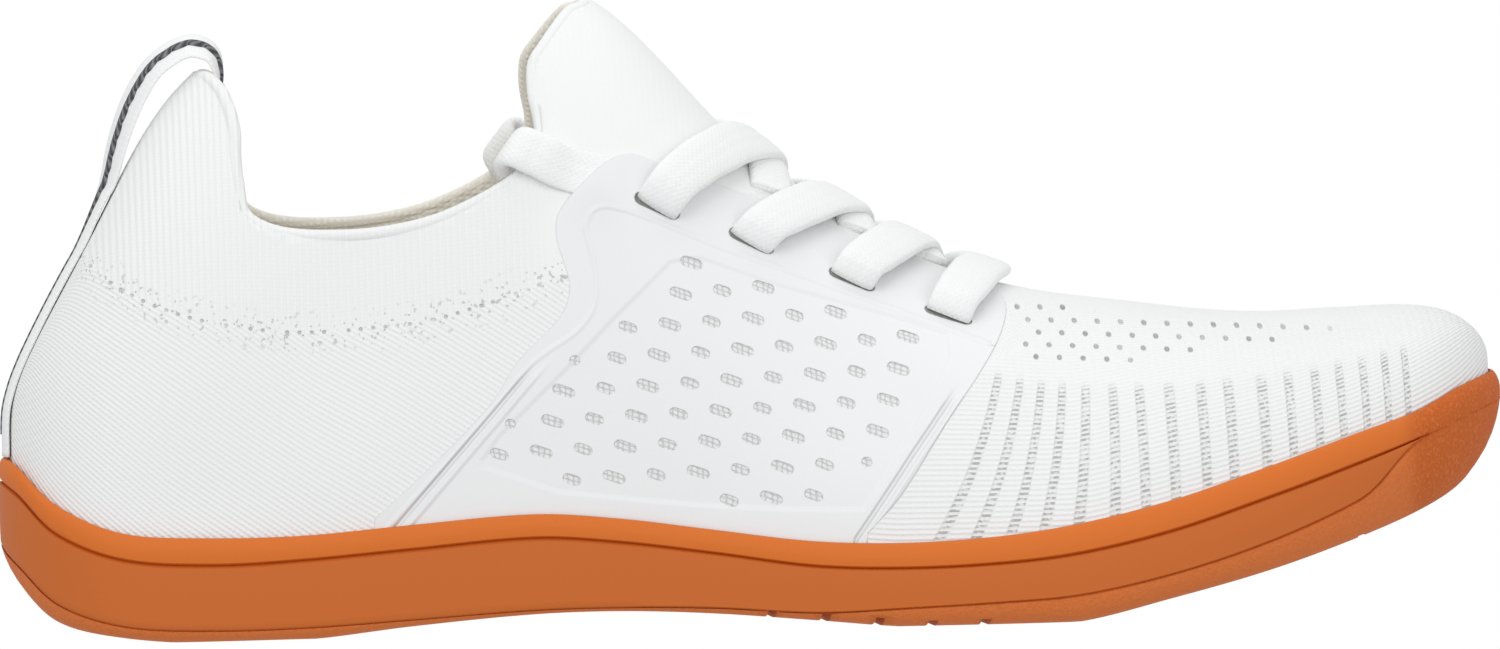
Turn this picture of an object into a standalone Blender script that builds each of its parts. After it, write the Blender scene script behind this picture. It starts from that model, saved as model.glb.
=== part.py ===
"""A low barefoot sports shoe for the right foot: a knitted bootie on a moulded cup sole.

Metres, +Z up. The origin is on the floor under the middle of the shoe, the toe points along +X and the
outer side of the foot faces -Y. The shoe is empty and stands on its heel and forefoot.
"""
import math
from collections import namedtuple

import bmesh
import bpy
import numpy as np
from mathutils import Matrix, Vector

# Sizes of the whole shoe
LENGTH = 0.286
BALL_WIDTH = 0.105
HEEL_WIDTH = 0.070
TAB_HEIGHT = 0.106
COLLAR_HEIGHT = 0.0755
TONGUE_HEIGHT = 0.1175
TOE_HEIGHT = 0.054

# Thicknesses and clearances
GAP = 0.0003
WALL = 0.0020
SOLE_FLOOR = 0.0050
SOLE_SIDE = 0.0022
SOLE_LIP = 0.0010
SOLE_GROOVE = 0.0008
SOLE_HEIGHT = 0.020
INSOLE = 0.0035
INSOLE_EASE = 0.0011
OVERLAY = 0.0010

# Tread
LUG_DEPTH = 0.0012
LUG_SLIT = 0.0017
LUG_PITCH = 0.0098

# Perforations of the side panels, lace slots, lace and pull loop
HOLE_LONG = 0.0042
HOLE_SHORT = 0.0034
HOLE_END = 0.0020
HOLE_HEIGHT = 0.0018
SLOT_WIDTH = 0.0096
SLOT_HEIGHT = 0.0036
LACE_WIDTH = 0.0074
LACE_THICK = 0.0020
LACE_CLEAR = 0.0012
LACE_EASE = 0.00015
TAPE_WIDTH = 0.0110
TAPE_THICK = 0.0011
TAPE_SAG = 0.0009

FOOT_STEPS = 10
STATIONS = 32
ARCH_STEPS = 16
SHARP_ANGLE = math.radians(35)
FORM_BACK = SOLE_SIDE
FORM_LENGTH = LENGTH - 2 * SOLE_SIDE
LATERAL, MEDIAL = -1, 1

# One row for each section of the foot form, heel to toe. along is the share of the form's length. outer and
# inner are its edges on the floor as shares of width, crown the height of its top as a share of height, lean
# the side shift of that top as a share of width, and full how square the arch is, where 2 is an ellipse.
Section = namedtuple("Section", "along width outer inner height crown lean full")
FORM = (
    Section(0.00, HEEL_WIDTH, 0.000, 0.000, TAB_HEIGHT, 0.362, 0.000, 4.20),
    Section(0.02, HEEL_WIDTH, -0.270, 0.270, TAB_HEIGHT, 0.530, 0.000, 3.20),
    Section(0.06, HEEL_WIDTH, -0.415, 0.415, TAB_HEIGHT, 0.716, 0.000, 2.60),
    Section(0.12, HEEL_WIDTH, -0.472, 0.472, TAB_HEIGHT, 0.964, 0.000, 2.25),
    Section(0.20, HEEL_WIDTH, -0.486, 0.483, TONGUE_HEIGHT, 1.010, 0.000, 2.10),
    Section(0.30, HEEL_WIDTH, -0.507, 0.486, TONGUE_HEIGHT, 1.050, 0.000, 2.00),
    Section(0.40, BALL_WIDTH, -0.367, 0.329, TONGUE_HEIGHT, 0.996, 0.000, 1.95),
    Section(0.50, BALL_WIDTH, -0.414, 0.350, TONGUE_HEIGHT, 0.753, 0.014, 1.90),
    Section(0.60, BALL_WIDTH, -0.462, 0.405, TONGUE_HEIGHT, 0.594, 0.030, 1.95),
    Section(0.68, BALL_WIDTH, -0.479, 0.452, TOE_HEIGHT, 1.125, 0.045, 2.05),
    Section(0.76, BALL_WIDTH, -0.461, 0.479, TOE_HEIGHT, 1.044, 0.060, 2.20),
    Section(0.84, BALL_WIDTH, -0.392, 0.470, TOE_HEIGHT, 1.000, 0.080, 2.35),
    Section(0.90, BALL_WIDTH, -0.306, 0.438, TOE_HEIGHT, 1.002, 0.100, 2.50),
    Section(0.95, BALL_WIDTH, -0.194, 0.374, TOE_HEIGHT, 1.008, 0.110, 2.70),
    Section(0.98, BALL_WIDTH, -0.080, 0.296, TOE_HEIGHT, 0.965, 0.110, 3.00),
    Section(1.00, BALL_WIDTH, 0.110, 0.110, TOE_HEIGHT, 0.810, 0.110, 3.80),
)

# Heights of the sole's lines, as shares of SOLE_HEIGHT. along is the share of the shoe's length. under is the
# tread, which the floor cuts off flat at the heel and the ball, line the thin groove above the tread strip,
# groove the one under the top band, and edge the top of the sole.
SoleRow = namedtuple("SoleRow", "along under line groove edge")
SOLE = (
    SoleRow(0.000, 0.870, 0.930, 1.520, 1.760),
    SoleRow(0.012, 0.490, 0.700, 1.380, 1.640),
    SoleRow(0.036, 0.185, 0.375, 1.035, 1.310),
    SoleRow(0.080, 0.045, 0.168, 0.790, 1.040),
    SoleRow(0.140, -0.020, 0.115, 0.725, 0.980),
    SoleRow(0.200, -0.005, 0.122, 0.755, 0.982),
    SoleRow(0.270, 0.095, 0.170, 0.828, 1.055),
    SoleRow(0.350, 0.180, 0.230, 0.905, 1.125),
    SoleRow(0.405, 0.190, 0.236, 0.845, 1.065),
    SoleRow(0.465, 0.150, 0.215, 0.728, 0.945),
    SoleRow(0.530, 0.070, 0.155, 0.590, 0.820),
    SoleRow(0.590, -0.006, 0.185, 0.555, 0.790),
    SoleRow(0.650, -0.020, 0.220, 0.580, 0.830),
    SoleRow(0.700, -0.002, 0.265, 0.648, 0.920),
    SoleRow(0.762, 0.183, 0.430, 0.825, 1.105),
    SoleRow(0.825, 0.385, 0.675, 1.080, 1.360),
    SoleRow(0.888, 0.638, 1.010, 1.350, 1.628),
    SoleRow(0.932, 0.840, 1.330, 1.540, 1.800),
    SoleRow(0.965, 1.040, 1.500, 1.700, 1.990),
    SoleRow(0.988, 1.300, 1.610, 1.790, 2.070),
    SoleRow(1.000, 1.600, 1.680, 1.830, 2.090),
)

# Rings of the sole's side from the tread up. base and top name the two lines that a ring lies between, share
# where, and out how far it stands out from the foot form, as a share of SOLE_SIDE.
Ring = namedtuple("Ring", "base top share out sunk")
SIDE = (
    Ring("under", "line", 0.00, -1.50, 0.0),
    Ring("under", "line", 0.16, -0.30, 0.0),
    Ring("under", "line", 0.50, 0.55, 0.0),
    Ring("line", "groove", 0.00, 0.95, 0.7),
    Ring("line", "groove", 0.06, 0.97, 0.0),
    Ring("line", "groove", 0.50, 1.00, 0.0),
    Ring("line", "groove", 0.94, 0.96, 0.0),
    Ring("groove", "edge", 0.00, 0.95, 1.0),
    Ring("groove", "edge", 0.14, 1.00, 0.0),
    Ring("groove", "edge", 0.55, 0.88, 0.0),
    Ring("groove", "edge", 0.90, 0.62, 0.0),
)
# The two grooves run into the smooth bumper of the toe between these shares of the length.
GROOVES_FADE = (0.905, 0.930)

# Slits across the tread. Each row has the first slit's place and the number of slits, its reach to each side
# as a share of the ball width, and its slant in degrees. The longest ones run out at the sole's edge.
SlitRow = namedtuple("SlitRow", "along count reach slant")
TREAD = (
    SlitRow(0.075, 1, 0.200, 0),
    SlitRow(0.215, 4, 0.230, 0),
    SlitRow(0.484, 5, 0.620, 6),
    SlitRow(0.712, 6, 0.290, 6),
)

# The collar's rim from heel tab to tongue tip. along is the share of the shoe's length, up of the size named.
Rim = namedtuple("Rim", "along size up")
COLLAR = (
    Rim(0.1220, TAB_HEIGHT, 1.045),
    Rim(0.1345, TAB_HEIGHT, 1.000),
    Rim(0.1434, TAB_HEIGHT, 0.993),
    Rim(0.1528, TAB_HEIGHT, 0.966),
    Rim(0.1598, TAB_HEIGHT, 0.905),
    Rim(0.1600, TAB_HEIGHT, 0.855),
    Rim(0.1612, TAB_HEIGHT, 0.811),
    Rim(0.1660, COLLAR_HEIGHT, 1.055),
    Rim(0.1878, COLLAR_HEIGHT, 1.011),
    Rim(0.2252, COLLAR_HEIGHT, 0.998),
    Rim(0.2640, COLLAR_HEIGHT, 1.008),
    Rim(0.3000, COLLAR_HEIGHT, 1.043),
    Rim(0.3430, COLLAR_HEIGHT, 1.127),
    Rim(0.3600, TONGUE_HEIGHT, 0.772),
    Rim(0.3610, TONGUE_HEIGHT, 0.810),
    Rim(0.3577, TONGUE_HEIGHT, 0.862),
    Rim(0.3590, TONGUE_HEIGHT, 0.907),
    Rim(0.3671, TONGUE_HEIGHT, 0.936),
    Rim(0.3752, TONGUE_HEIGHT, 0.961),
    Rim(0.3853, TONGUE_HEIGHT, 0.987),
    Rim(0.3962, TONGUE_HEIGHT, 0.998),
    Rim(0.4120, TONGUE_HEIGHT, 1.050),
)

# Outline of a side panel seen from the side, up its rear edge, along the throat and down its front. The sole's
# edge closes it below.
Corner = namedtuple("Corner", "along up")
PANEL = (
    Corner(0.2801, 0.267),
    Corner(0.3220, 0.367),
    Corner(0.3406, 0.434),
    Corner(0.3608, 0.481),
    Corner(0.3720, 0.513),
    Corner(0.3762, 0.549),
    Corner(0.3734, 0.585),
    Corner(0.3689, 0.623),
    Corner(0.3692, 0.658),
    Corner(0.3752, 0.683),
    Corner(0.3874, 0.715),
    Corner(0.4052, 0.749),
    Corner(0.4200, 0.757),
    Corner(0.4395, 0.739),
    Corner(0.4983, 0.681),
    Corner(0.5654, 0.613),
    Corner(0.6269, 0.551),
    Corner(0.6560, 0.527),
    Corner(0.6655, 0.498),
    Corner(0.6610, 0.460),
    Corner(0.6490, 0.414),
    Corner(0.6178, 0.316),
    Corner(0.5871, 0.209),
)
# Its rear and front foot, where up is the height above the sole's edge as a share of SOLE_HEIGHT.
PANEL_FEET = (Corner(0.2440, 0.08993), Corner(0.5640, 0.08783))

# Lace slots of a side panel, seen from the side.
SLOTS = (Corner(0.4311, 0.678), Corner(0.4892, 0.620), Corner(0.5570, 0.552), Corner(0.6185, 0.490))
SLOT_TILT = math.radians(-22)

# The perforations stand on a slanted lattice. Each row has its first and last column; long and short holes
# take turns, and the end of a row that the panel's edge clips is a small hole.
HOLE_START = Corner(0.4566, 0.5815)
HOLE_STEP = (0.00784, 0.00029)
HOLE_ROW_STEP = (-0.00227, -0.00561)
HOLE_TILT = math.radians(-20)
HoleRow = namedtuple("HoleRow", "first last small_first small_last")
HOLE_ROWS = (
    HoleRow(0, 0, False, False),
    HoleRow(0, 2, False, False),
    HoleRow(-1, 4, False, False),
    HoleRow(-2, 6, True, False),
    HoleRow(-2, 6, False, False),
    HoleRow(-3, 6, True, False),
    HoleRow(-3, 6, False, False),
    HoleRow(-1, 6, False, True),
    HoleRow(3, 5, False, False),
)

# Each lace strip leaves the slot of its own row, crosses the ridge of the instep and ends at the other panel's
# throat edge, or in the other slot where it is the front bar. All are shares of the shoe's length.
Strip = namedtuple("Strip", "slot ridge far")
STRIPS = (Strip(0, 0.500, 0.508), Strip(1, 0.565, 0.570), Strip(2, 0.612, 0.618))
FRONT_BAR_RIDGE = 0.657
# Places along a strip, as shares; the first is in the slot and the second just past its edge.
STRIP_PLACES = (0.0, 0.012, 0.06, 0.14, 0.23, 0.32, 0.41, 0.50, 0.59, 0.68, 0.77, 0.86, 0.94)
# Height of a strip over the ridge, where one of the two lies under the other, and how far down the other side
# it runs, as a share of its own rise.
UNDER_RISE = 0.0006
OVER_RISE = 0.0016
FAR_SHARE = 0.36
STRIP_ASIDE = 0.0013
STRIP_LEAVES = 0.15
STRIP_LANDS = 0.30
LEAVE_SHARE = 0.22

# The lace ends run from the panels' top corners back to the collar, fold over its rim and go down inside. All
# places are seen from the side; fold is the angle round the rim, 0 outside and 180 inside.
Pass = namedtuple("Pass", "along up fold")
LACE_END = (
    Pass(0.3811, 0.732, 0),
    Pass(0.3700, 0.741, 0),
    Pass(0.3605, 0.753, 0),
    Pass(0.3535, 0.761, 0),
    Pass(0.3501, 0.760, 45),
    Pass(0.3483, 0.7555, 90),
    Pass(0.3466, 0.750, 135),
    Pass(0.3462, 0.743, 180),
    Pass(0.3552, 0.700, 180),
    Pass(0.3692, 0.623, 180),
    Pass(0.3916, 0.500, 180),
)
RIM_SLOPE = math.radians(49)

# The pull loop's free stretch in the middle plane, from inside the heel tab over the top to its seat on the
# back, with the angle by which the tape leans to the outer side.
Free = namedtuple("Free", "along up lean")
LOOP = (
    Free(0.1490, 0.962, 0),
    Free(0.1518, 0.976, 4),
    Free(0.1522, 1.002, 10),
    Free(0.1490, 1.027, 16),
    Free(0.1420, 1.040, 20),
    Free(0.1340, 1.043, 20),
    Free(0.1240, 1.034, 20),
    Free(0.1090, 1.004, 20),
    Free(0.0950, 0.944, 20),
    Free(0.0850, 0.874, 18),
    Free(0.0780, 0.806, 14),
    Free(0.0725, 0.775, 8),
)

KNIT = ((0.93, 0.93, 0.92), 0.85)
PANEL_WHITE = ((0.95, 0.95, 0.95), 0.45)
LACE_WHITE = ((0.96, 0.96, 0.95), 0.80)
LINING = ((0.62, 0.58, 0.52), 0.90)
GUM = ((0.58, 0.16, 0.04), 0.50)


def clear_scene():
    for item in list(bpy.data.objects):
        bpy.data.objects.remove(item, do_unlink=True)


def collection(name):
    group = bpy.data.collections.new(name)
    bpy.context.scene.collection.children.link(group)
    return group


def material(name, look):
    colour, roughness = look
    made = bpy.data.materials.new(name)
    made.use_nodes = True
    shader = made.node_tree.nodes["Principled BSDF"]
    shader.inputs["Base Color"].default_value = (*colour, 1.0)
    shader.inputs["Roughness"].default_value = roughness
    shader.inputs["Metallic"].default_value = 0.0
    return made


def angle_of(share):
    """Stations crowd towards both ends, so that heel and toe come out round."""
    return math.acos(1 - 2 * min(max(share, 0.0), 1.0))


def smooth(places, values, place):
    """A smooth curve through a table's rows, read at one place."""
    place = min(max(place, places[0]), places[-1])
    slopes = []
    for i in range(len(places)):
        low, high = max(i - 1, 0), min(i + 1, len(places) - 1)
        slopes.append((values[high] - values[low]) / (places[high] - places[low]))
    i = min(max(np.searchsorted(places, place) - 1, 0), len(places) - 2)
    span = places[i + 1] - places[i]
    t = (place - places[i]) / span
    return (
        values[i] * (1 + 2 * t) * (1 - t) ** 2
        + slopes[i] * span * t * (1 - t) ** 2
        + values[i + 1] * t * t * (3 - 2 * t)
        + slopes[i + 1] * span * t * t * (t - 1)
    )


FORM_ANGLES = [angle_of(row.along) for row in FORM]
FORM_OUTER = [row.outer * row.width for row in FORM]
FORM_INNER = [row.inner * row.width for row in FORM]
FORM_CROWN = [row.crown * row.height for row in FORM]
FORM_LEAN = [row.lean * row.width for row in FORM]
FORM_FULL = [row.full for row in FORM]
SOLE_ANGLES = [angle_of(row.along) for row in SOLE]
SOLE_LINES = {name: [getattr(row, name) * SOLE_HEIGHT for row in SOLE] for name in SoleRow._fields[1:]}


def sole_line(name, x):
    """Height of one of the sole's lines at x, measured from the heel."""
    return max(smooth(SOLE_ANGLES, SOLE_LINES[name], angle_of(x / LENGTH)), 0.0)


def sole_floor(x):
    return sole_line("under", x) + SOLE_FLOOR


def form_section(share):
    """Edges, crown and fullness of the foot form at a share of its length, and its x."""
    angle = angle_of(share)
    x = FORM_BACK + share * FORM_LENGTH
    outer, inner, crown, lean, full = (
        smooth(FORM_ANGLES, column, angle)
        for column in (FORM_OUTER, FORM_INNER, FORM_CROWN, FORM_LEAN, FORM_FULL)
    )
    return x, outer, inner, crown, lean, full, sole_floor(x) + GAP


def form_point(share, turn):
    """A point of the form: turn is -1 at the outer floor edge, 0 on the crown and 1 at the inner edge."""
    x, outer, inner, crown, lean, full, base = form_section(share)
    angle = (1 - abs(turn)) * math.pi / 2
    edge = outer if turn < 0 else inner
    y = lean + (edge - lean) * max(math.cos(angle), 0.0) ** (2 / full)
    z = base + (crown - base) * max(math.sin(angle), 0.0) ** (2 / full)
    return Vector((x, y, z))


def turn_at(share, side, z):
    """The turn at which the form reaches a height on one side."""
    crown, full, base = (form_section(share)[i] for i in (3, 5, 6))
    rise = min(max((z - base) / (crown - base), 0.0), 1.0)
    return side * (1 - math.asin(rise ** (full / 2)) / (math.pi / 2))


def form_normal(share, turn):
    """Outward normal of the form, from four points close by."""
    step = 0.004
    angle = min(max(angle_of(share), 5 * step), math.pi - 5 * step)
    before, after = ((1 - math.cos(angle + d)) / 2 for d in (-step, step))
    turn = min(max(turn, -1 + step), 1 - step)
    along = form_point(after, turn) - form_point(before, turn)
    middle = (1 - math.cos(angle)) / 2
    across = form_point(middle, turn + step) - form_point(middle, turn - step)
    return along.cross(across).normalized()


def share_at(x):
    return (x - FORM_BACK) / FORM_LENGTH


def on_form(x, side, z, out):
    """The place over the form that shows at x and z from the side, out from its surface, with its normal."""
    share = share_at(x)
    turn = turn_at(share, side, z)
    normal = form_normal(share, turn)
    return form_point(share, turn) + normal * out, normal


def over_form(x, turn, out):
    share = share_at(x)
    normal = form_normal(share, turn)
    return form_point(share, turn) + normal * out, normal


def station_shares():
    return [(1 - math.cos(math.pi * i / STATIONS)) / 2 for i in range(STATIONS + 1)]


def ring_around(height_of, out_of):
    """A loop round the form, heel to toe on the outer side and back. Both functions are given x."""
    shares = station_shares()
    loop = [(share, LATERAL) for share in shares] + [(share, MEDIAL) for share in shares[-2:0:-1]]
    base = []
    for share, side in loop:
        x = FORM_BACK + share * FORM_LENGTH
        crown = form_section(share)[3]
        turn = turn_at(share, side, min(height_of(x), crown))
        point = form_point(share, turn)
        base.append(Vector((point.x, point.y)))
    ring = []
    for i, point in enumerate(base):
        tangent = (base[(i + 1) % len(base)] - base[i - 1]).normalized()
        moved = point + Vector((tangent.y, -tangent.x)) * out_of(point.x)
        ring.append(Vector((moved.x, moved.y, height_of(moved.x))))
    return ring


def to_shoe_frame(bm):
    """Move a mesh from the heel's frame, where x is measured from the back, to the part's own."""
    bmesh.ops.translate(bm, verts=bm.verts, vec=(-LENGTH / 2, 0, 0))


def finish_mesh(name, bm, look, group, closed=True):
    """A named object from a mesh; an open sheet keeps its faces on the side that they were given."""
    if closed:
        bmesh.ops.remove_doubles(bm, verts=bm.verts, dist=1e-6)
        bmesh.ops.recalc_face_normals(bm, faces=bm.faces)
    mesh = bpy.data.meshes.new(name)
    bm.to_mesh(mesh)
    bm.free()
    mesh.shade_smooth()
    mesh.set_sharp_from_angle(angle=SHARP_ANGLE)
    made = bpy.data.objects.new(name, mesh)
    if look:
        mesh.materials.append(look)
    group.objects.link(made)
    return made


def bridge_rings(bm, rings, capped=True):
    """Skin over a stack of loops with the same number of points, closed across at both ends."""
    rows = [[bm.verts.new(point) for point in ring] for ring in rings]
    count = len(rows[0])
    for low, high in zip(rows, rows[1:]):
        for i in range(count):
            j = (i + 1) % count
            bm.faces.new((low[i], low[j], high[j], high[i]))
    if capped:
        for row in (rows[0], rows[-1]):
            half = count // 2
            bm.faces.new((row[0], row[1], row[-1]))
            for i in range(1, half - 1):
                bm.faces.new((row[i], row[i + 1], row[-i - 1], row[-i]))
            bm.faces.new((row[half - 1], row[half], row[half + 1]))


def prism(name, outline, low, high, group):
    """A cutter: an outline in x and z, straight through in y."""
    bm = bmesh.new()
    near = [bm.verts.new((x, low, z)) for x, z in outline]
    far = [bm.verts.new((x, high, z)) for x, z in outline]
    bm.faces.new(near)
    bm.faces.new(far)
    for i in range(len(outline)):
        j = (i + 1) % len(outline)
        bm.faces.new((near[i], near[j], far[j], far[i]))
    to_shoe_frame(bm)
    return as_cutter(finish_mesh(name, bm, None, group))


def as_cutter(item):
    item.hide_render = True
    item.display_type = "WIRE"
    return item


def boolean(item, operation, cutter):
    """One exact Boolean, with a cutter or with every object of a collection."""
    made = item.modifiers.new(operation.lower(), "BOOLEAN")
    made.operation = operation
    made.solver = "EXACT"
    if isinstance(cutter, bpy.types.Collection):
        made.operand_type = "COLLECTION"
        made.collection = cutter
    else:
        made.object = cutter


def rounded_path(rows, steps):
    """A smooth curve through points in x and z, with a few points between each two."""
    places = [0.0]
    for a, b in zip(rows, rows[1:]):
        places.append(places[-1] + math.dist(a, b))
    path = []
    for low, high in zip(places, places[1:]):
        for i in range(steps):
            at = low + (high - low) * i / steps
            path.append(tuple(smooth(places, [row[k] for row in rows], at) for k in (0, 1)))
    return path + [rows[-1]]


def outsole(look, parts, cutters):
    """One moulded gum sole: tread, side with two grooves, top band, and a cup that takes the upper."""
    low, high = (share * LENGTH for share in GROOVES_FADE)

    def grooved(x):
        return min(max((high - x) / (high - low), 0.0), 1.0)

    rings = []
    for row in SIDE:
        def height(x, row=row):
            base = sole_line(row.base, x)
            return base + (sole_line(row.top, x) - base) * row.share

        def out(x, row=row):
            return row.out * SOLE_SIDE - row.sunk * SOLE_GROOVE * grooved(x)

        rings.append(ring_around(height, out))
    rings.append(ring_around(lambda x: sole_line("edge", x), lambda x: SOLE_LIP))
    rings.append(ring_around(lambda x: sole_line("edge", x), lambda x: GAP))
    rings.append(ring_around(lambda x: (sole_line("edge", x) + sole_floor(x)) / 2, lambda x: GAP))
    rings.append(ring_around(sole_floor, lambda x: GAP))
    bm = bmesh.new()
    bridge_rings(bm, rings)
    to_shoe_frame(bm)
    made = finish_mesh("outsole", bm, look, parts)
    boolean(made, "DIFFERENCE", tread_slits(cutters))
    return made


def tread_slits(cutters):
    """Bars that cut the tread into lugs, joined in one mesh; none of them touches the next."""
    bm = bmesh.new()
    for row in TREAD:
        for i in range(row.count):
            x = row.along * LENGTH + i * LUG_PITCH
            slope = math.atan2(sole_line("under", x + LUG_SLIT) - sole_line("under", x - LUG_SLIT), 2 * LUG_SLIT)
            place = (
                Matrix.Translation((x, 0, sole_line("under", x)))
                @ Matrix.Rotation(math.radians(row.slant), 4, "Z")
                @ Matrix.Rotation(-slope, 4, "Y")
                @ Matrix.Diagonal((LUG_SLIT, 2 * row.reach * BALL_WIDTH, 2 * LUG_DEPTH, 1))
            )
            bmesh.ops.create_cube(bm, size=1, matrix=place)
    to_shoe_frame(bm)
    return as_cutter(finish_mesh("tread_slits", bm, None, cutters))


def insole(look, parts):
    """A loose flat inlay inside the upper, on the floor of the cup."""
    inset = WALL + GAP + INSOLE_EASE
    bm = bmesh.new()
    bridge_rings(bm, [
        ring_around(lambda x: sole_floor(x) + GAP, lambda x: -inset),
        ring_around(lambda x: sole_floor(x) + GAP + INSOLE, lambda x: -inset),
    ])
    to_shoe_frame(bm)
    return finish_mesh("insole", bm, look, parts)


def skin(bm, near, far):
    """Triangles between two rows of points, always split the same way, so that two sheets fit."""
    for k in range(len(near) - 1):
        bm.faces.new((near[k], far[k], far[k + 1]))
        bm.faces.new((near[k], far[k + 1], near[k + 1]))


def upper(look, parts, cutters):
    """The knitted bootie: one wall from sole edge to collar, open at the collar and underneath."""
    bm = bmesh.new()
    arches = []
    for share in station_shares():
        turns = [-1 + 2 * k / ARCH_STEPS for k in range(ARCH_STEPS + 1)]
        arches.append([bm.verts.new(form_point(share, turn)) for turn in turns])
    for near, far in zip(arches, arches[1:]):
        skin(bm, near, far)
    bmesh.ops.remove_doubles(bm, verts=bm.verts, dist=1e-6)
    to_shoe_frame(bm)
    made = finish_mesh("upper", bm, look, parts)
    wall = made.modifiers.new("wall", "SOLIDIFY")
    wall.thickness = WALL
    wall.offset = -1
    rim = rounded_path([(row.along * LENGTH, row.up * row.size) for row in COLLAR], 3)
    over = 1.5 * TONGUE_HEIGHT
    outline = rim + [(rim[-1][0], over), (rim[0][0], over)]
    boolean(made, "DIFFERENCE", prism("collar_opening", outline, -BALL_WIDTH, BALL_WIDTH, cutters))
    return made


def pill(centre, length, height, tilt, steps=3):
    """Outline of a slot with round ends, in x and z."""
    points = []
    for end, start in ((1, -math.pi / 2), (-1, math.pi / 2)):
        for k in range(steps + 1):
            angle = start + math.pi * k / steps
            x = end * (length - height) / 2 + height / 2 * math.cos(angle)
            z = height / 2 * math.sin(angle)
            points.append((
                centre[0] + x * math.cos(tilt) - z * math.sin(tilt),
                centre[1] + x * math.sin(tilt) + z * math.cos(tilt),
            ))
    return points


def perforations():
    """Outlines of the panel's dash-shaped holes."""
    outlines = []
    for r, row in enumerate(HOLE_ROWS):
        for column in range(row.first, row.last + 1):
            x = HOLE_START.along * LENGTH + column * HOLE_STEP[0] + r * HOLE_ROW_STEP[0]
            z = HOLE_START.up * TONGUE_HEIGHT + column * HOLE_STEP[1] + r * HOLE_ROW_STEP[1]
            small = (column == row.first and row.small_first) or (column == row.last and row.small_last)
            length = HOLE_END if small else (HOLE_SHORT if column % 2 else HOLE_LONG)
            outlines.append(pill((x, z), length, min(HOLE_HEIGHT, length), HOLE_TILT, 2))
    return outlines


def overlay(name, side, look, parts, cutters):
    """A side panel: a sheet over the upper, cut to its outline, with lace slots and perforations."""
    low, high = (share_at(end(corner.along for corner in PANEL + PANEL_FEET) * LENGTH) for end in (min, max))
    shares = station_shares()
    inside = [i for i, share in enumerate(shares) if low <= share <= high]
    bm = bmesh.new()
    grid = []
    for share in shares[inside[0] - 1:inside[-1] + 2]:
        turns = [min(side, 0) + 2 * k / ARCH_STEPS for k in range(ARCH_STEPS // 2 + 1)]
        grid.append([bm.verts.new(form_point(share, t) + form_normal(share, t) * GAP) for t in turns])
    for near, far in zip(grid, grid[1:]):
        skin(bm, near, far)
    to_shoe_frame(bm)
    made = finish_mesh(name, bm, look, parts, closed=False)
    sheet = made.modifiers.new("sheet", "SOLIDIFY")
    sheet.thickness = OVERLAY
    sheet.offset = 1
    sheet.use_even_offset = True
    reach = sorted((side * BALL_WIDTH, side * 0.002))
    rear, front = (
        (foot.along * LENGTH, sole_line("edge", foot.along * LENGTH) + foot.up * SOLE_HEIGHT) for foot in PANEL_FEET
    )
    outline = [rear] + [(corner.along * LENGTH, corner.up * TONGUE_HEIGHT) for corner in PANEL] + [front]
    foot = [outline[-1][0] + (outline[0][0] - outline[-1][0]) * k / FOOT_STEPS for k in range(FOOT_STEPS + 1)]
    outline += [(x, sole_line("edge", x) + 2 * GAP) for x in foot]
    boolean(made, "INTERSECT", prism(name + "_outline", outline, *reach, cutters))
    holes = bpy.data.collections.new(name + "_holes")
    cutters.children.link(holes)
    for k, place in enumerate(SLOTS):
        slot_cutter(f"{name}_slot_{k}", place, side, holes)
    for k, outline in enumerate(perforations()):
        prism(f"{name}_hole_{k}", outline, *reach, holes)
    boolean(made, "DIFFERENCE", holes)
    return made


def slot_cutter(name, place, side, group):
    """A pill-shaped punch through the panel, square to its surface."""
    centre, normal = on_form(place.along * LENGTH, side, place.up * TONGUE_HEIGHT, 0.0)
    along = Vector((math.cos(SLOT_TILT), 0, math.sin(SLOT_TILT)))
    along = (along - normal * along.dot(normal)).normalized()
    up = normal.cross(along)
    bm = bmesh.new()
    outline = pill((0, 0), SLOT_WIDTH, SLOT_HEIGHT, 0, 4)
    ends = [
        [bm.verts.new(centre + along * a + up * b + normal * out) for a, b in outline]
        for out in (-OVERLAY, 3 * OVERLAY)
    ]
    bm.faces.new(ends[0])
    bm.faces.new(ends[1])
    for i in range(len(ends[0])):
        j = (i + 1) % len(ends[0])
        bm.faces.new((ends[0][i], ends[0][j], ends[1][j], ends[1][i]))
    to_shoe_frame(bm)
    return as_cutter(finish_mesh(name, bm, None, group))


def ribbon(name, places, width, thick, look, group):
    """A flat strip with soft edges along a path of points, each with the direction that it faces."""
    profile = ((0.5, 0.0), (0.40, 0.5), (-0.40, 0.5), (-0.5, 0.0), (-0.40, -0.5), (0.40, -0.5))
    bm = bmesh.new()
    rings = []
    for i, (point, facing) in enumerate(places):
        tangent = (places[min(i + 1, len(places) - 1)][0] - places[max(i - 1, 0)][0]).normalized()
        across = tangent.cross(facing).normalized()
        facing = across.cross(tangent).normalized()
        rings.append([bm.verts.new(point + across * a * width + facing * b * thick) for a, b in profile])
    for near, far in zip(rings, rings[1:]):
        for k in range(len(profile)):
            j = (k + 1) % len(profile)
            bm.faces.new((near[k], near[j], far[j], far[k]))
    bm.faces.new(rings[0])
    bm.faces.new(rings[-1])
    to_shoe_frame(bm)
    return finish_mesh(name, bm, look, group)


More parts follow.
